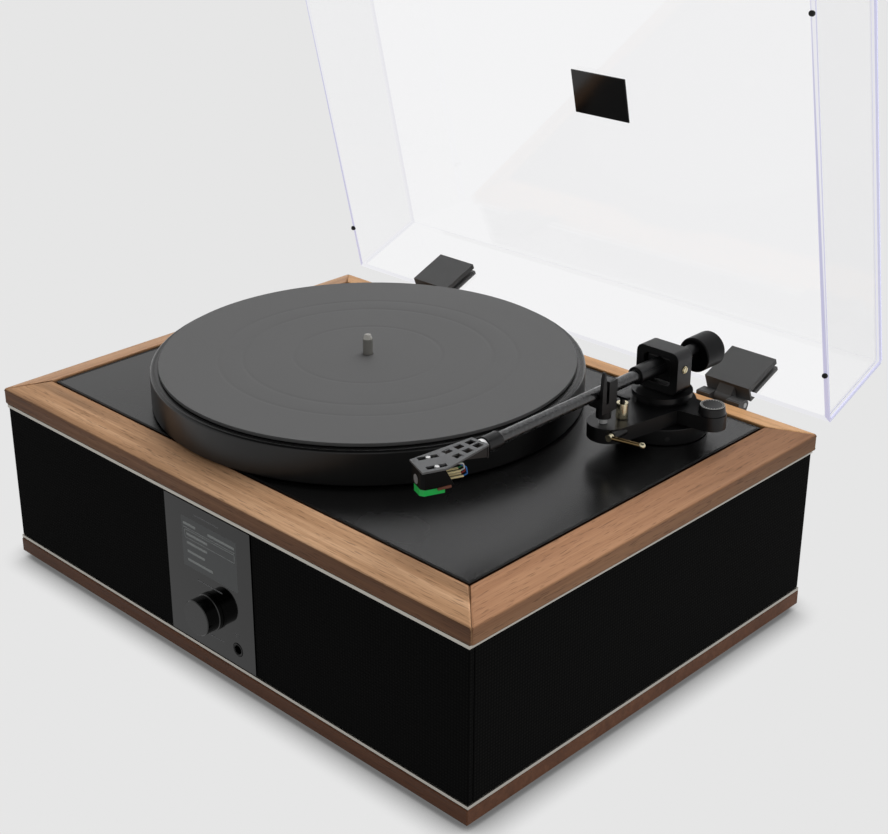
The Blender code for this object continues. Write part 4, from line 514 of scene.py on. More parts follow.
platterCentre = (-0.03, 0.003, 0)
finish = {
    # painted light and shade: the rails are lit and shaded copies of one walnut; the grain within each board
    # is the wood's own, but each board's overall lightness is set by how light falls on it
    "walnutFront": oiledWalnut("oiled_walnut_front", 0, (0.13, 0.05, 0.02), "#9a7352", "#bf946f", "#dbb18c"),
    "walnutShadedFront": oiledWalnut("oiled_walnut_painted_shade_front", 0, (0.13, 0.45, 0.02), "#775139", "#9a6d4f", "#b48766"),
    "walnutRear": oiledWalnut("oiled_walnut_rear", 0, (0.73, 0.35, 0.12),
                              "#ab7d52", "#c89767", "#daaa7c", 0.2),
    "walnutLeft": oiledWalnut("oiled_walnut_left", 90, (0.41, 0.27, 0.09),
                              "#9c7350", "#b68a66", "#c79e7a", 0.2),
    # the right rail's board carries painted shade, darker towards its rear end
    "walnutRight": oiledWalnut("oiled_walnut_right", 90, (0.91, 0.57, 0.31),
                               "#966b4b", "#ad7f5e", "#be906c", 0.25, darker=(0.95, 0.76, 0.32)),
    "walnutBase": oiledWalnut("oiled_walnut_base", 0, (0.23, 0.65, 0.52),
                              "#67412b", "#794e36", "#8a5d42", 0.25),
    "trim": brushedAluminium("brushed_aluminium_trim", "#bcb8b0", 0.42),
    "cloth": acousticCloth("black_acoustic_cloth"),
    "deck": coated("satin_black_lacquer", "#0e0e0e", 0.27, 0.0016, 0.00001, vary=0.02, ior=1.51),
    "panel": coated("gloss_black_acrylic_panel", "#040404", 0.05, 0.004, 0.0000015, vary=0.015, ior=1.4),
    "screen": coated("screen_glass", "#454a4b", 0.07, 0.004, 0.0000015, vary=0.015, ior=1.4),
    "screenMark": coated("lit_screen_mark", "#b4b9b8", 0.4, 0.002, 0.000004, vary=0.02),
    "panelMark": coated("printed_panel_mark", "#77787a", 0.5, 0.002, 0.000004, vary=0.02),
    "glossBlack": coated("polished_black_abs", "#060606", 0.14, 0.003, 0.000006, vary=0.03),
    "knobFace": coated("gloss_black_knob_cap", "#060606", 0.06, 0.004, 0.0000015, vary=0.015, ior=1.42),
    "mat": coated("black_rubber_mat", "#5c5c5c", 0.66, 0.0011, 0.00004, vary=0.03),
    "platter": turnedMetal("black_coated_turned_aluminium", "#080808", 0.28, platterCentre, 0.0016, 0.25),
    "arm": coated("black_anodised_casting", "#0b0b0c", 0.33, 0.0009, 0.00003, ior=1.4),
    "carbon": wovenCarbon("woven_carbon_fibre"),
    "counterweight": coated("satin_black_enamel", "#060607", 0.36, 0.001, 0.00002, ior=1.22),
    "nickel": coated("satin_nickel_plate", "#a3a19b", 0.25, 0.002, 0.000004, metallic=0.5),
    "gold": polishedMetal("polished_brass", "#dbd1b2", 0.2),
    # painted highlight: the pins are a pale gold, lighter than plated gold, standing in for their bright
    # highlights
    "pin": coated("gold_pin_painted_highlight", "#e6d6a2", 0.3, 0.002, 0.000004, metallic=0.3),
    "carrier": coated("brown_phenolic_bar", "#7d4a38", 0.5, 0.001, 0.00001),
    # painted highlight: a near-white, part-metal zinc standing in for the bright highlights on the silver
    # parts
    "silverWithHighlight": coated("zinc_plate_painted_highlight", "#f0f0f0", 0.25, 0.002, 0.000004, metallic=0.35),
    "bronze": polishedMetal("polished_bronze", "#8a7450", 0.2),
    "scaleMark": coated("printed_scale_mark", "#a9a9a6", 0.5, 0.002, 0.000004, vary=0.02),
    # black steel for the set screw and the socket ring, and also painted shade: the strips in the deck's
    # gap, the knob's step face, the disc behind the knob and the base's bore
    "blackAndShade": coated("blackened_steel_and_painted_shade", "#050505", 0.6, 0.001, 0.00001),
    "clearNylon": coated("natural_nylon", "#b4b5b7", 0.3, 0.001, 0.00001),
    "headshell": coated("dark_grey_anodised_magnesium", "#646566", 0.42, 0.0009, 0.00002, metallic=0.4),
    "cartridge": coated("moulded_black_abs", "#060606", 0.36, 0.001, 0.00002, ior=1.18),
    "stylus": coated("moulded_green_abs", "#10f06a", 0.35, 0.001, 0.00001),
    "rubber": coated("moulded_black_rubber", "#1c1c1c", 0.8, 0.0008, 0.00005),
    "clip": coated("textured_black_nylon", "#4a4a4a", 0.5, 0.0007, 0.00003),
    "acrylic": castAcrylic("clear_cast_acrylic", acrylicLook["sheet"], 1.0, 0.0, 0.004),
    "acrylicWall": castAcrylic("clear_cast_acrylic_wall", acrylicLook["wall"], 1.0, 0.0, 0.004),
    # painted glow: the polished edges and the seams emit a faint lavender or pale light
    "acrylicEdge": castAcrylic("acrylic_edge_painted_glow", acrylicLook["edge"], 0.0, 0.25, 0.35, 0.7),
    "acrylicSeam": castAcrylic("acrylic_seam_painted_glow", acrylicLook["seam"], 0.0, 0.25, 0.35, 0.97,
                               "paleGlow"),
    "badge": coated("gloss_black_enamel_badge", "#050505", 0.1, 0.004, 0.000004, vary=0.02),
    "fibreboard": coated("raw_fibreboard", "#8a6b4d", 0.9, 0.0006, 0.0001),
    "blackBoard": coated("black_painted_board", "#141414", 0.6, 0.0009, 0.00004),
    "steel": turnedMetal("machined_steel", "#a5a5a5", 0.35, (0, 0, 0), 0.002),
    "circuit": coated("green_solder_mask", "#1d5a33", 0.4, 0.003, 0.00005),
    "driver": coated("black_pressed_steel", "#161616", 0.5, 0.001, 0.00004),
    "backSteel": coated("black_powder_coated_steel", "#151515", 0.55, 0.0006, 0.00006),
    "brass": turnedMetal("turned_brass", "#c9a85c", 0.3, platterCentre, 0.0012),
    "machined": turnedMetal("turned_aluminium", "#b4b4b4", 0.35, platterCentre, 0.0015),
}
wires = {"blue": "#2673c4", "red": "#a32a22", "white": "#d8d8d4", "green": "#38a05a"}
for tint, code in wires.items():
    finish[tint] = coated(tint + "_pvc_wire", code, 0.4, 0.001, 0.00001)
print("finishes ready:", len(finish))


# Cabinet

cabinetEdges = {
    "rail": 0.0007, "trim": 0.0002, "cloth": 0.0006, "deck": 0.0004, "board": 0.0003, "foot": 0.0005,
    "closing": 0.00018,      # m, how far each mitred end reaches over the hairline
    "shadowGap": 0.0018, "gapShadowHeight": 0.0001,
}

for railName, wood in (("front_rail", "walnutFront"), ("rear_rail", "walnutRear"),
                       ("left_rail", "walnutLeft"), ("right_rail", "walnutRight")):
    rail = dressed(railName, finish[wood], cabinetEdges["rail"], rail=True)
    if railName == "front_rail":
        # painted shade: the front rail's upright front face gets a darker copy of the walnut, for the shade
        # it stands in
        addLook(rail, "walnutShadedFront", lambda face: face.normal.y < -0.8)
# painted shade: the base plate is a darker copy of the walnut, for its upright sides in shade
dressed("base_plate", finish["walnutBase"], 0)
for trimName in ("lower_trim", "upper_trim"):
    dressed(trimName, finish["trim"], cabinetEdges["trim"])
for clothName in ("left_side_panel", "right_side_panel", "left_front_grille", "right_front_grille"):
    dressed(clothName, finish["cloth"], cabinetEdges["cloth"])
dressed("deck_plate", finish["deck"], cabinetEdges["deck"])
# painted shadow: a thin black strip runs along each of the deck's four edges, standing in for the shade in
# the gap to the rails
deckLow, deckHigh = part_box("deck_plate")
gap = cabinetEdges["shadowGap"]
for name, low, high in (("front", (deckLow.x, deckLow.y), (deckHigh.x, deckLow.y + gap)),
                        ("rear", (deckLow.x, deckHigh.y - gap), (deckHigh.x, deckHigh.y)),
                        ("left", (deckLow.x, deckLow.y + gap), (deckLow.x + gap, deckHigh.y - gap)),
                        ("right", (deckHigh.x - gap, deckLow.y + gap), (deckHigh.x, deckHigh.y - gap))):
    strip = block(((low[0] + high[0]) / 2, (low[1] + high[1]) / 2, deckHigh.z),
                  (high[0] - low[0], high[1] - low[1], cabinetEdges["gapShadowHeight"]))
    settle(strip, name + "_deck_gap_shadow", finish["blackAndShade"], "cabinet")
dressed("rear_board", finish["blackBoard"], cabinetEdges["board"])
for foot in ("front_left_foot", "front_right_foot", "rear_left_foot", "rear_right_foot"):
    dressed(foot, finish["rubber"], cabinetEdges["foot"])
print("cabinet finished")


# Control panel with its screen

panelLook = {
    "front": 0.1674, "edge": 0.0003, "partEdge": 0.0002,
    "markOut": 0.00006, "markHalf": 0.0004, "markDepth": 0.00012,
    # m, each thin label bar's half length and height above the floor
    "labels": {"upper": (0.0125, 0.1088), "middle": (0.0125, 0.0618), "lower": (0.0115, 0.0255)},
    "socketRing": (0.0040, 0.0005),      # m, radius and thickness
    # m, left and right of the socket's middle, then bottom and top
    "socketMarks": {"left": (-0.0016, -0.0011, 0.0352, 0.0376), "right": (0.0011, 0.0016, 0.0352, 0.0376),
                    "top": (-0.0013, 0.0013, 0.0376, 0.0380)},
}
screenLook = {
    "overlap": 0.00035, "glassOut": 0.00001, "glassDepth": 0.0004,   # m, cover glass over the window
    "markOut": 0.00007, "margin": 0.0015, "topMargin": 0.002, "stroke": 0.0013 / 3,
    "leftHeading": 0.0125, "rightHeading": 0.026,                    # m, lengths
    "headingTop": 0.0016, "headingBottom": 0.0034, "rule": 0.0056, "boxTop": 0.0066,   # m down
    "boxIndent": 0.001, "rowPitch": 0.0062, "rowHalf": 0.0009, "rowIndent": 0.003, "rowLength": 0.034,
    "rows": (0.62, 0.60, 0.52, 0.74),    # share of a plain bar's full length
}
dressed("control_panel", finish["panel"], panelLook["edge"])
dressed("display_window", finish["screen"], panelLook["partEdge"])
dressed("headphone_socket", finish["glossBlack"], panelLook["partEdge"])


def flatMark(name, left, right, bottom, top, front, material, depth=panelLook["markDepth"]):
    # a thin raised mark on a face that looks towards -Y
    fresh()
    bpy.ops.mesh.primitive_plane_add(
        size=1, location=((left + right) / 2, front, (bottom + top) / 2), rotation=(math.radians(90), 0, 0))
    mark = bpy.context.object
    mark.scale = (right - left, top - bottom, 1)
    applyPlace()
    editAll()
    bpy.ops.mesh.extrude_region_move(TRANSFORM_OT_translate={"value": (0, depth, 0)})
    bpy.ops.mesh.select_all(action="SELECT")
    bpy.ops.mesh.normals_make_consistent(inside=False)
    objectMode()
    return settle(mark, name, material, "cabinet")


look = screenLook
windowLow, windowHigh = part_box("display_window")
flatMark("screen_cover_glass", windowLow.x - look["overlap"], windowHigh.x + look["overlap"],
         windowLow.z - look["overlap"], windowHigh.z + look["overlap"],
         -panelLook["front"] - look["glassOut"], finish["screen"], look["glassDepth"])
screenFront = -panelLook["front"] - look["markOut"]
left, right = windowLow.x + look["margin"], windowHigh.x - look["margin"]
top = windowHigh.z - look["topMargin"]
headingLow, headingHigh, ruleLow = top - look["headingBottom"], top - look["headingTop"], top - look["rule"]
boxLeft, boxTop, stroke = left + look["boxIndent"], top - look["boxTop"], look["stroke"]
boxBottom = boxTop - look["rowPitch"]
# each mark's left, right, bottom and top
screenMarks = {
    "heading_left": (left, left + look["leftHeading"], headingLow, headingHigh),
    "heading_right": (right - look["rightHeading"], right, headingLow, headingHigh),
    "rule": (left, right, ruleLow, ruleLow + stroke),
    "box_top": (boxLeft, right, boxTop - stroke, boxTop),
    "box_bottom": (boxLeft, right, boxBottom, boxBottom + stroke),
    "box_left": (boxLeft, boxLeft + stroke, boxBottom, boxTop),
    "box_right": (right - stroke, right, boxBottom, boxTop),
}
rowLeft = left + look["rowIndent"]
for index, share in enumerate(look["rows"]):
    middle = boxTop - look["rowPitch"] * (index + 0.5)
    screenMarks[f"row_{index + 1}"] = (rowLeft, rowLeft + look["rowLength"] * share,
                                       middle - look["rowHalf"], middle + look["rowHalf"])
for name, edges in screenMarks.items():
    flatMark("screen_" + name, *edges, screenFront, finish["screenMark"])
panelFront = -panelLook["front"] - panelLook["markOut"]
for name, (half, middle) in panelLook["labels"].items():
    flatMark(name + "_label_bar", -half, half, middle - panelLook["markHalf"],
             middle + panelLook["markHalf"], panelFront, finish["panelMark"])
socketLow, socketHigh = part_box("headphone_socket")
socketCentre = (socketLow + socketHigh) / 2
socketCentre.y = -panelLook["front"]
ringAt("socket_ring", socketCentre, (0, -1, 0), *panelLook["socketRing"], finish["blackAndShade"], "cabinet")
for name, (left, right, bottom, top) in panelLook["socketMarks"].items():
    flatMark("socket_mark_" + name, socketCentre.x + left, socketCentre.x + right, bottom, top,
             panelFront, finish["panelMark"])
print("screen drawn")


# Knob

knobLook = {
    "edge": 0.0003, "capRadius": 0.0122, "chamfer": 0.0005, "capDepth": 0.003,
    "ringBack": 0.0002, "ringThickness": 0.00013, "shadeDiscRadius": 0.0127, "shadeDiscOut": 0.00001,
}
knobLow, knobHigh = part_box("control_knob")
knobCentre = (knobLow + knobHigh) / 2
knobCentre.y = knobLow.y
knob = dressed("control_knob", finish["glossBlack"], knobLook["edge"], 2, 25)
capBack = knobLow.y + knobLook["capDepth"]
addLook(knob, "knobFace", lambda face: face.normal.y < -0.95 and face.center.y < capBack)
# painted shade: the step face behind the cap is matte black, so it reads as a dark groove
addLook(knob, "blackAndShade", lambda face: face.normal.y < -0.95 and face.center.y >= capBack)
ringAt("knob_cap_edge", knobCentre + Vector((0, knobLook["ringBack"], 0)), (0, -1, 0),
       knobLook["capRadius"] - knobLook["chamfer"], knobLook["ringThickness"], finish["glossBlack"],
       "volume", 72)
# painted shade: a matte black disc fills the gap between the knob and the panel, standing in for the shade
# in that gap
rodBetween("knob_gap_shade_disc", (knobCentre.x, -panelLook["front"] - knobLook["shadeDiscOut"], knobCentre.z),
           (knobCentre.x, knobHigh.y, knobCentre.z), knobLook["shadeDiscRadius"], finish["blackAndShade"],
           "volume", 72, 0.02)
print("knob done")


# Platter, mat and spindle

matLook = {
    "platterEdge": 0.0006, "spindleEdge": 0.0003, "edge": 0.0004, "boreGap": 0.0002,
    "rings": (0.1061, 0.0890, 0.0540),   # m, radius of each shallow step
    "depth": 0.0004, "stepWidth": 0.0018,
}
dressed("platter", finish["platter"], matLook["platterEdge"], 3, 30)
dressed("spindle", finish["nickel"], matLook["spindleEdge"], 3, 20)
matLow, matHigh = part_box("platter_mat")
matRadius = (matHigh.x - matLow.x) / 2
rubberMat = cylinder(128, matRadius, matHigh.z - matLow.z, (matLow + matHigh) / 2)
facesWhere(rubberMat, lambda face: face.normal.z > 0.9)
radius, step = matRadius, matLook["stepWidth"]
for ringRadius in matLook["rings"]:
    bpy.ops.mesh.inset(thickness=radius - ringRadius, depth=0)
    bpy.ops.mesh.inset(thickness=step, depth=-matLook["depth"])
    bpy.ops.mesh.inset(thickness=step, depth=0)
    bpy.ops.mesh.inset(thickness=step, depth=matLook["depth"])
    radius = ringRadius - step * 3
spindleLow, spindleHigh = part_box("spindle")
boreRadius = (spindleHigh.x - spindleLow.x) / 2 + matLook["boreGap"]
bpy.ops.mesh.inset(thickness=radius - boreRadius, depth=0)
objectMode()
facesWhere(rubberMat, lambda face: face.normal.z < -0.9)
bpy.ops.mesh.inset(thickness=matRadius - boreRadius, depth=0)
objectMode()
# the two round faces left in the middle, above and below, open into the bore
facesWhere(rubberMat, lambda face: abs(face.normal.z) > 0.9 and len(face.vertices) > 20)
bpy.ops.mesh.bridge_edge_loops()
objectMode()
applyBevel(rubberMat, matLook["edge"], 2, 50)
settle(rubberMat, "rubber_mat", finish["mat"], "turntable", ["platter_mat"])
print("turntable done")


# Tonearm

armLook = {
    "pivot": (0.151, 0.097, 0.1808), "headRadius": 0.0021, "headOut": 0.0172, "headHeight": 0.0009,
    "housing": (0.0196, 0.0100, 0.0166), "housingZ": 0.1790, "housingEdge": 0.0012,
    "restPinTop": 0.1612,
    "carbon": (-0.0645, 0.0665),         # m, the tube's bare length in Y
    "bronze": (0.1635, 0.1820),          # m, the lever's collar in X
    "setScrew": (0.1504, 0.1412), "setScrewZ": (0.1879, 0.1885), "setScrewRadius": 0.0009,
    "base": (0.151, 0.097, 0.1404), "boreTurn": -45, "bore": (0.0300, 0.03105), "boreRadius": 0.0016,
}
# each piece's finish, edge width in m, bevel segments and the least angle that is softened
armPieces = {
    "arm_base": ("arm", 0.0006, 3, 35), "arm_board": ("arm", 0.0006, 3, 35),
    "arm_yoke": ("arm", 0.0006, 3, 35), "arm_rest": ("arm", 0.0003, 2, 35),
    "lift_plunger": ("arm", 0.0003, 2, 35), "counterweight": ("counterweight", 0.0004, 2, 25),
    "arm_tube": ("arm", 0.0002, 2, 35), "headshell": ("headshell", 0.0002, 2, 35),
    "cartridge": ("cartridge", 0.0005, 2, 35), "stylus": ("stylus", 0.0003, 2, 35),
    "lift_cylinder": ("gold", 0.0003, 2, 35), "cueing_lever": ("gold", 0.0002, 2, 40),
    "anti_skate_knob": ("arm", 0.0003, 2, 30), "pitch_axle": ("gold", 0.0003, 2, 35),
}
shellLook = {
    "corner": (0.156, -0.1329), "turn": 22.6,              # its front right corner
    "collarY": -0.0794, "topZ": 0.1835,
    "screws": {"right": (0.0043, 64), "left": (0.0170, 24)},   # m across, and the slot's turn in degrees
    "screwBack": 0.0108, "screwZ": 0.1846, "screwRadius": 0.0015, "screwHeight": 0.0014,
}
# places on the headshell are across, back and height, in m
cartridgeLook = {
    "disc": ((0.01065, 0.0007, 0.1762), (0.01065, 0.0004, 0.1762)), "discRadius": 0.0029,
    "rear": 0.0211, "rearFoot": 0.172, "rearLean": 0.006, "rearHeight": 0.0115,   # sloping rear face
    "pinAcross": 0.0062, "pinZ": 0.1748, "pinPitch": 0.0036,
    "pinSunk": 0.001, "pinLength": 0.0085, "pinRadius": 0.0007,
    "wireRadius": 0.00045, "wireTop": 0.1826, "wireEnd": 0.1831,
    "carrier": ((0.0024, 0.0105, 0.1715), (0.0024, 0.0188, 0.1719)), "carrierRadius": 0.0009,
}
scaleLook = {
    "top": (0.190, 0.098, 0.16303), "ringRadius": 0.0077, "ringThickness": 0.00022,
    "ticks": 24, "tickOut": 0.0069, "tick": (0.0013, 0.00045, 0.00016),
}

made = {name: dressed(name, finish[look], *edge) for name, (look, *edge) in armPieces.items()}
addLook(made["arm_rest"], "silverWithHighlight", lambda face: face.center.z < armLook["restPinTop"])
addLook(made["arm_tube"], "carbon", lambda face: abs(face.normal.y) < 0.5
        and armLook["carbon"][0] < face.center.y < armLook["carbon"][1])
addLook(made["headshell"], "arm", lambda face: face.center.z < shellLook["topZ"])
addLook(made["headshell"], "silverWithHighlight", lambda face: face.center.y > shellLook["collarY"])
addLook(made["cueing_lever"], "bronze",
        lambda face: armLook["bronze"][0] < face.center.x < armLook["bronze"][1])


def onShell(across, back, height):
    # a place on the headshell: across to the left and back from its front right corner
    turn = math.radians(shellLook["turn"])
    cornerX, cornerY = shellLook["corner"]
    return Vector((cornerX - across * math.cos(turn) + back * math.sin(turn),
                   cornerY + across * math.sin(turn) + back * math.cos(turn), height))


pivot = Vector(armLook["pivot"])
for side, way in (("left", -1), ("right", 1)):
    slottedHead(side + "_pivot_screw", pivot + Vector((way * armLook["headOut"], 0, 0)), (way, 0, 0),
                armLook["headRadius"], armLook["headHeight"], 62, finish["gold"], "arm_bearing")
# the bearing housing fills the yoke's window round the tube
housing = block((pivot.x, pivot.y, armLook["housingZ"]), armLook["housing"])
applyBevel(housing, armLook["housingEdge"], 3)
settle(housing, "bearing_housing", finish["arm"], "tonearm")
for name, (across, slotTurn) in shellLook["screws"].items():
    slottedHead(name + "_headshell_screw", onShell(across, shellLook["screwBack"], shellLook["screwZ"]),
                (0, 0, 1), shellLook["screwRadius"], shellLook["screwHeight"], slotTurn,
                finish["silverWithHighlight"], "tonearm")

look = cartridgeLook
discFront, discBack = look["disc"]
rodBetween("cartridge_front_disc", onShell(*discFront), onShell(*discBack), look["discRadius"],
           finish["clearNylon"], "tonearm", 32, 0.5)
for index, wire in enumerate(wires):
    across = look["pinAcross"] + look["pinPitch"] * (index % 2)
    level = look["pinZ"] + look["pinPitch"] * (index // 2)
    back = look["rear"] - look["rearLean"] * (level - look["rearFoot"]) / look["rearHeight"]
    pinEnd = back + look["pinLength"]
    rodBetween(f"cartridge_pin_{index + 1}", onShell(across, back - look["pinSunk"], level),
               onShell(across, pinEnd, level), look["pinRadius"], finish["pin"], "tonearm", 12)
    # each wire leaves its pin in a short loop that turns up and forward under the headshell
    path = (onShell(across, pinEnd - 0.0006, level),
            onShell(across - 0.0006, pinEnd + 0.0021, level + 0.0014),
            onShell(across, pinEnd + 0.0016, min(level + 0.0052, look["wireTop"])),
            onShell(across + 0.0012, pinEnd - 0.003, look["wireEnd"]))
    for part, start, end in zip("abc", path, path[1:]):
        rodBetween(f"cartridge_wire_{index + 1}{part}", start, end, look["wireRadius"], finish[wire],
                   "tonearm", 10)
carrierFront, carrierBack = look["carrier"]
rodBetween("stylus_carrier_bar", onShell(*carrierFront), onShell(*carrierBack), look["carrierRadius"],
           finish["carrier"], "tonearm", 12)

# the anti-skate knob has a bright scale ring on its top, ticked all round
knobTop = Vector(scaleLook["top"])
ringAt("anti_skate_ring", knobTop, (0, 0, 1), scaleLook["ringRadius"], scaleLook["ringThickness"],
       finish["scaleMark"], "anti_skate", 64)
ticks = block(knobTop + Vector((scaleLook["tickOut"], 0, 0)), scaleLook["tick"])
editAll()
bpy.ops.mesh.spin(steps=scaleLook["ticks"], dupli=True, angle=2 * math.pi, center=knobTop, axis=(0, 0, 1))
bpy.ops.mesh.select_all(action="SELECT")
bpy.ops.mesh.remove_doubles(threshold=0.00001)
objectMode()
settle(ticks, "anti_skate_ticks", finish["scaleMark"], "anti_skate")

screwLow, screwHigh = armLook["setScrewZ"]
rodBetween("counterweight_set_screw", (*armLook["setScrew"], screwLow), (*armLook["setScrew"], screwHigh),
           armLook["setScrewRadius"], finish["blackAndShade"], "balance_weight", 16)
# painted shade: a short dark rod in the base's side stands in for the dark inside of a bore
boreTurn = math.radians(armLook["boreTurn"])
baseSide = Vector((math.cos(boreTurn), math.sin(boreTurn), 0))
boreStart, boreEnd = [Vector(armLook["base"]) + baseSide * reach for reach in armLook["bore"]]
rodBetween("arm_base_bore_shade", boreStart, boreEnd, armLook["boreRadius"], finish["blackAndShade"], "cabinet", 20)
print("tonearm done")


# Cover and hinges

coverLook = {
    "openAngle": 76.8, "pinY": 0.1765, "pinZ": 0.129, "edge": 0.0004, "badgeEdge": 0.0002,
    "halfWidth": 0.227, "roofOut": 0.0720, "rimOut": 0.0092,
    "roofAlong": (0.0150, 0.3415),       # m, where a roof corner's rods start and end
    "rearAlong": (0.0052, 0.0148),       # m, a rear corner's rods at the rim and at the roof
    "frontAlong": 0.3426, "frontInset": 0.003,
    "rimDepth": 0.012, "smallFace": 0.0012,   # m and square m
    "rimPaleTo": 0.2235, "sideTintFrom": 0.215,    # m from the middle
    "bumperRadius": 0.0018, "bumperHeight": 0.0026, "bumperOut": 0.00745, "bumperEdge": 0.0006,
    "bumpers": ((-0.225, 0.041), (-0.225, 0.291), (0.225, 0.041), (0.225, 0.291)),   # m, X and along
}


def onCover(x, along, out):
    # a place on the open cover: along from the pin line, out from its open side
    angle = math.radians(coverLook["openAngle"])
    return Vector((x,
                   coverLook["pinY"] - along * math.cos(angle) + out * math.sin(angle),
                   coverLook["pinZ"] + along * math.sin(angle) + out * math.cos(angle)))


cover = dressed("dust_cover", finish["acrylic"], coverLook["edge"], 2, 40)
cover.visible_shadow = cover.visible_diffuse = False   # clear sheet hardly dims a lamp or the sky
for name in ("acrylicEdge", "acrylicWall", "acrylicSeam"):
    cover.data.materials.append(finish[name])
# material slots: tinted is the lavender edge glow, wall the side sheets, pale the pale seam glow
tinted, wall, pale = 1, 2, 3
rimWay = (onCover(0, 0, 0) - onCover(0, 0, 1)).normalized()
longWay = (onCover(0, 1, 0) - onCover(0, 0, 0)).normalized()
for face in cover.data.polygons:
    towardsRim = face.normal.dot(rimWay)
    flat = max(abs(face.normal.x), abs(towardsRim), abs(face.normal.dot(longWay)))
    if towardsRim > 0.9 and (face.center - onCover(0, 0, 0)).dot(rimWay) > -coverLook["rimDepth"]:
        face.material_index = tinted if abs(face.center.x) > coverLook["rimPaleTo"] else pale
    elif flat < 0.93 and face.area < coverLook["smallFace"]:
        face.material_index = tinted if face.center.x > coverLook["sideTintFrom"] else pale
    elif abs(face.normal.x) > 0.9:
        face.material_index = wall
# painted glow: thin glowing rods run along the cemented corner joints, and pale glowing fillers close each
# sheet's end, so that no dark edge shows
seam = finish["acrylicSeam"]
rimOut, front = coverLook["rimOut"], coverLook["frontAlong"]
roofStart, roofEnd = coverLook["roofAlong"]
rearFoot, rearTop = coverLook["rearAlong"]
for side, way in (("left", -1), ("right", 1)):
    sideLook = finish["acrylicEdge"] if side == "right" else seam
    for part, inset, under, radius, mainLook in (("joint", 0.0015, 0, 0.0013, sideLook),
                                                 ("filler", 0.0046, 0.0005, 0.0017, seam)):
        x = way * (coverLook["halfWidth"] - inset)
        roofOut = coverLook["roofOut"] - under
        rods = {"roof": (onCover(x, roofStart, roofOut), onCover(x, roofEnd, roofOut), radius, mainLook),
                "rear": (onCover(x, rearFoot, rimOut), onCover(x, rearTop, roofOut), radius, mainLook),
                "front": (onCover(x, front, rimOut), onCover(x, front, roofOut), radius, seam)}
        for corner, rod in rods.items():
            rodBetween(f"{side}_{corner}_{part}", *rod, "cover", 10, 0.1)
reach = coverLook["halfWidth"] - coverLook["frontInset"]
for part, out, radius in (("joint", coverLook["roofOut"], 0.0013), ("filler", 0.0690, 0.0015)):
    rodBetween(f"front_roof_{part}", onCover(-reach, front, out), onCover(reach, front, out), radius,
               seam, "cover", 10, 0.1)
dressed("cover_badge", finish["badge"], coverLook["badgeEdge"])
# each piece's finish, edge width in m and bevel segments
hingePieces = {"clip": ("clip", 0.0006, 3), "bracket": ("clip", 0.0005, 2), "pin": ("steel", 0.0002, 2)}
for side in ("left", "right"):
    for part, (look, *edge) in hingePieces.items():
        dressed(f"{side}_hinge_{part}", finish[look], *edge)
for index, (x, along) in enumerate(coverLook["bumpers"]):
    pad = cylinder(20, coverLook["bumperRadius"], coverLook["bumperHeight"],
                   onCover(x, along, coverLook["bumperOut"] - coverLook["bumperHeight"] / 2),
                   (math.radians(coverLook["openAngle"]) - math.pi, 0, 0))
    applyBevel(pad, coverLook["bumperEdge"], 3)
    settle(pad, f"cover_bumper_{index + 1}", finish["rubber"], "cover")
print("cover done")


# Inside and back

insideFinish = {
    "front_baffle": "fibreboard", "left_driver": "driver", "right_driver": "driver",
    "amplifier_board": "circuit", "rotary_encoder": "steel", "motor": "steel",
    "motor_pulley": "brass", "drive_belt": "rubber", "platter_bearing": "brass",
    "sub_platter": "machined",
}
for name, look in insideFinish.items():
    finishNode(name, finish[look])
# each piece's finish and edge width in m
backPieces = {
    "rear_panel": ("backSteel", 0.0002), "power_inlet": ("cartridge", 0.0003),
    "power_switch": ("glossBlack", 0.0004), "rear_sockets": ("cartridge", 0.0002),
}
for name, (look, edge) in backPieces.items():
    dressed(name, finish[look], edge)
print("back done")


# Studio

studio = {
    "floor": "#666666", "shown": "#e6e6e6", "throughCover": "#f4f4f5", "floorZ": -0.00501,
    "contactWidth": 0.024, "contactShade": "#6a6a6a",   # m, how far the soft contact shadow reaches
    "worldStrength": 0.24, "overhead": "#474747",       # the dark upper studio that gloss shows
    "keyStrength": 2.3, "keyAngle": 60, "keyFrom": (-0.12, 0.45, 0.88),
}


def seenOnly(tree, rays):
    # 1 for what the camera sees, straight, in a gloss or through glass; 0 for light falling on a surface
    seen = calc(tree, "MAXIMUM", rays["Is Camera Ray"], rays["Is Glossy Ray"])
    seen = calc(tree, "MAXIMUM", seen, rays["Is Transmission Ray"])
    return calc(tree, "SUBTRACT", seen, rays["Diffuse Depth"], use_clamp=True)


fresh()
bpy.ops.mesh.primitive_plane_add(size=14, location=(0, 0, studio["floorZ"]))
floor = bpy.context.object
floor.name = "studio_floor"
floorMaterial, tree, shader = startMaterial(
    "matt_studio_floor", studio["floor"], 0.9, Specular_IOR_Level=0)[:3]
rays = addNode(tree, "ShaderNodeLightPath").outputs
near = addNode(tree, "ShaderNodeAmbientOcclusion", {"Distance": studio["contactWidth"]}, samples=24)
plain = ramp(tree, near.outputs["AO"], [(0.35, studio["contactShade"]), (0.95, studio["shown"])])
shown = blendColour(tree, rays["Is Transmission Ray"], plain, colour(studio["throughCover"]))
glow = addNode(tree, "ShaderNodeEmission", {"Color": shown, "Strength": 1})
both = addNode(tree, "ShaderNodeMixShader", {
    0: seenOnly(tree, rays), 1: shader.outputs[0], 2: glow.outputs[0]})
tree.links.new(both.outputs[0], tree.nodes["Material Output"].inputs["Surface"])
floor.data.materials.append(floorMaterial)

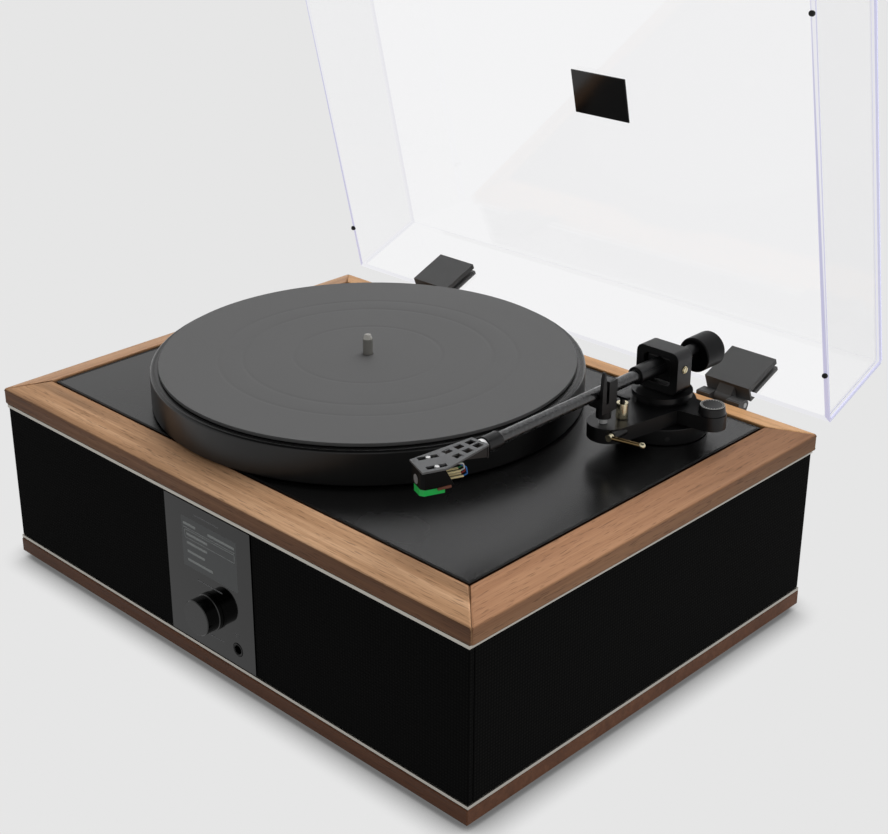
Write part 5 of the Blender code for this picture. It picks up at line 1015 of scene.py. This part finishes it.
world = bpy.data.worlds.new("soft_studio")
bpy.context.scene.world = world
world.use_nodes = True
tree = world.node_tree
tree.nodes.clear()
rays = addNode(tree, "ShaderNodeLightPath").outputs
around = addNode(tree, "ShaderNodeTexCoord").outputs["Generated"]
direction = addNode(tree, "ShaderNodeSeparateXYZ", {"Vector": around})
mirrored = ramp(tree, direction.outputs["Z"], [(0.5, studio["shown"]), (0.72, studio["overhead"])])
shown = blendColour(tree, rays["Is Glossy Ray"], colour(studio["shown"]), mirrored)
shown = blendColour(tree, rays["Is Transmission Ray"], shown, colour(studio["throughCover"]))
light = addNode(tree, "ShaderNodeBackground", {"Color": (1, 1, 1, 1), "Strength": studio["worldStrength"]})
shown = addNode(tree, "ShaderNodeBackground", {"Color": shown, "Strength": 1})
both = addNode(tree, "ShaderNodeMixShader", {
    0: seenOnly(tree, rays), 1: light.outputs[0], 2: shown.outputs[0]})
addNode(tree, "ShaderNodeOutputWorld", {"Surface": both.outputs[0]})

key = bpy.data.lights.new("key_sun", "SUN")
key.energy = studio["keyStrength"]
key.angle = math.radians(studio["keyAngle"])
keyLamp = bpy.data.objects.new("key_sun", key)
keyLamp.rotation_mode = "QUATERNION"
keyLamp.rotation_quaternion = Vector(studio["keyFrom"]).to_track_quat("Z", "Y")
keyLamp.visible_glossy = keyLamp.visible_transmission = False   # gloss and glass show the plain studio only
bpy.context.collection.objects.link(keyLamp)

lampTarget = (0, 0, 0.12)
softboxes = {
    "right_box": {"at": (1.5, -0.1, 0.5), "size": (0.9, 0.7), "power": 2.2},
    "rear_box": {"at": (-0.3, 1.6, 1.0), "size": (1.6, 0.5), "power": 2.5},
}
for name, box in softboxes.items():
    lamp = bpy.data.lights.new(name, "AREA")
    lamp.shape = "RECTANGLE"
    lamp.size, lamp.size_y = box["size"]
    lamp.energy = box["power"]
    holder = bpy.data.objects.new(name, lamp)
    holder.location = box["at"]
    holder.rotation_mode = "QUATERNION"
    holder.rotation_quaternion = (Vector(box["at"]) - Vector(lampTarget)).to_track_quat("Z", "Y")
    holder.visible_glossy = holder.visible_transmission = False
    bpy.context.collection.objects.link(holder)
print("studio lit")


# Camera, from the photograph's vanishing lines

cameraSet = {
    "at": (0.7227, -0.7090, 0.5907), "target": (-0.1200, 0.1213, 0.0800), "roll": -0.492,
    "lens": 65.66, "sensor": 36, "shiftX": 0.0510, "shiftY": -0.0423, "clipStart": 0.05, "clipEnd": 50,
}
view = bpy.data.cameras.new("photo_camera")
view.lens = cameraSet["lens"]
view.sensor_width = cameraSet["sensor"]
view.shift_x = cameraSet["shiftX"]
view.shift_y = cameraSet["shiftY"]
view.clip_start = cameraSet["clipStart"]
view.clip_end = cameraSet["clipEnd"]
camera = bpy.data.objects.new("photo_camera", view)
camera.location = cameraSet["at"]
camera.rotation_mode = "QUATERNION"
aim = (Vector(cameraSet["target"]) - Vector(cameraSet["at"])).to_track_quat("-Z", "Y")
roll = Matrix.Rotation(math.radians(cameraSet["roll"]), 3, "Z")
camera.rotation_quaternion = (aim.to_matrix() @ roll).to_quaternion()
bpy.context.collection.objects.link(camera)
bpy.context.scene.camera = camera
bpy.context.scene.view_settings.view_transform = "Standard"
print("camera set")
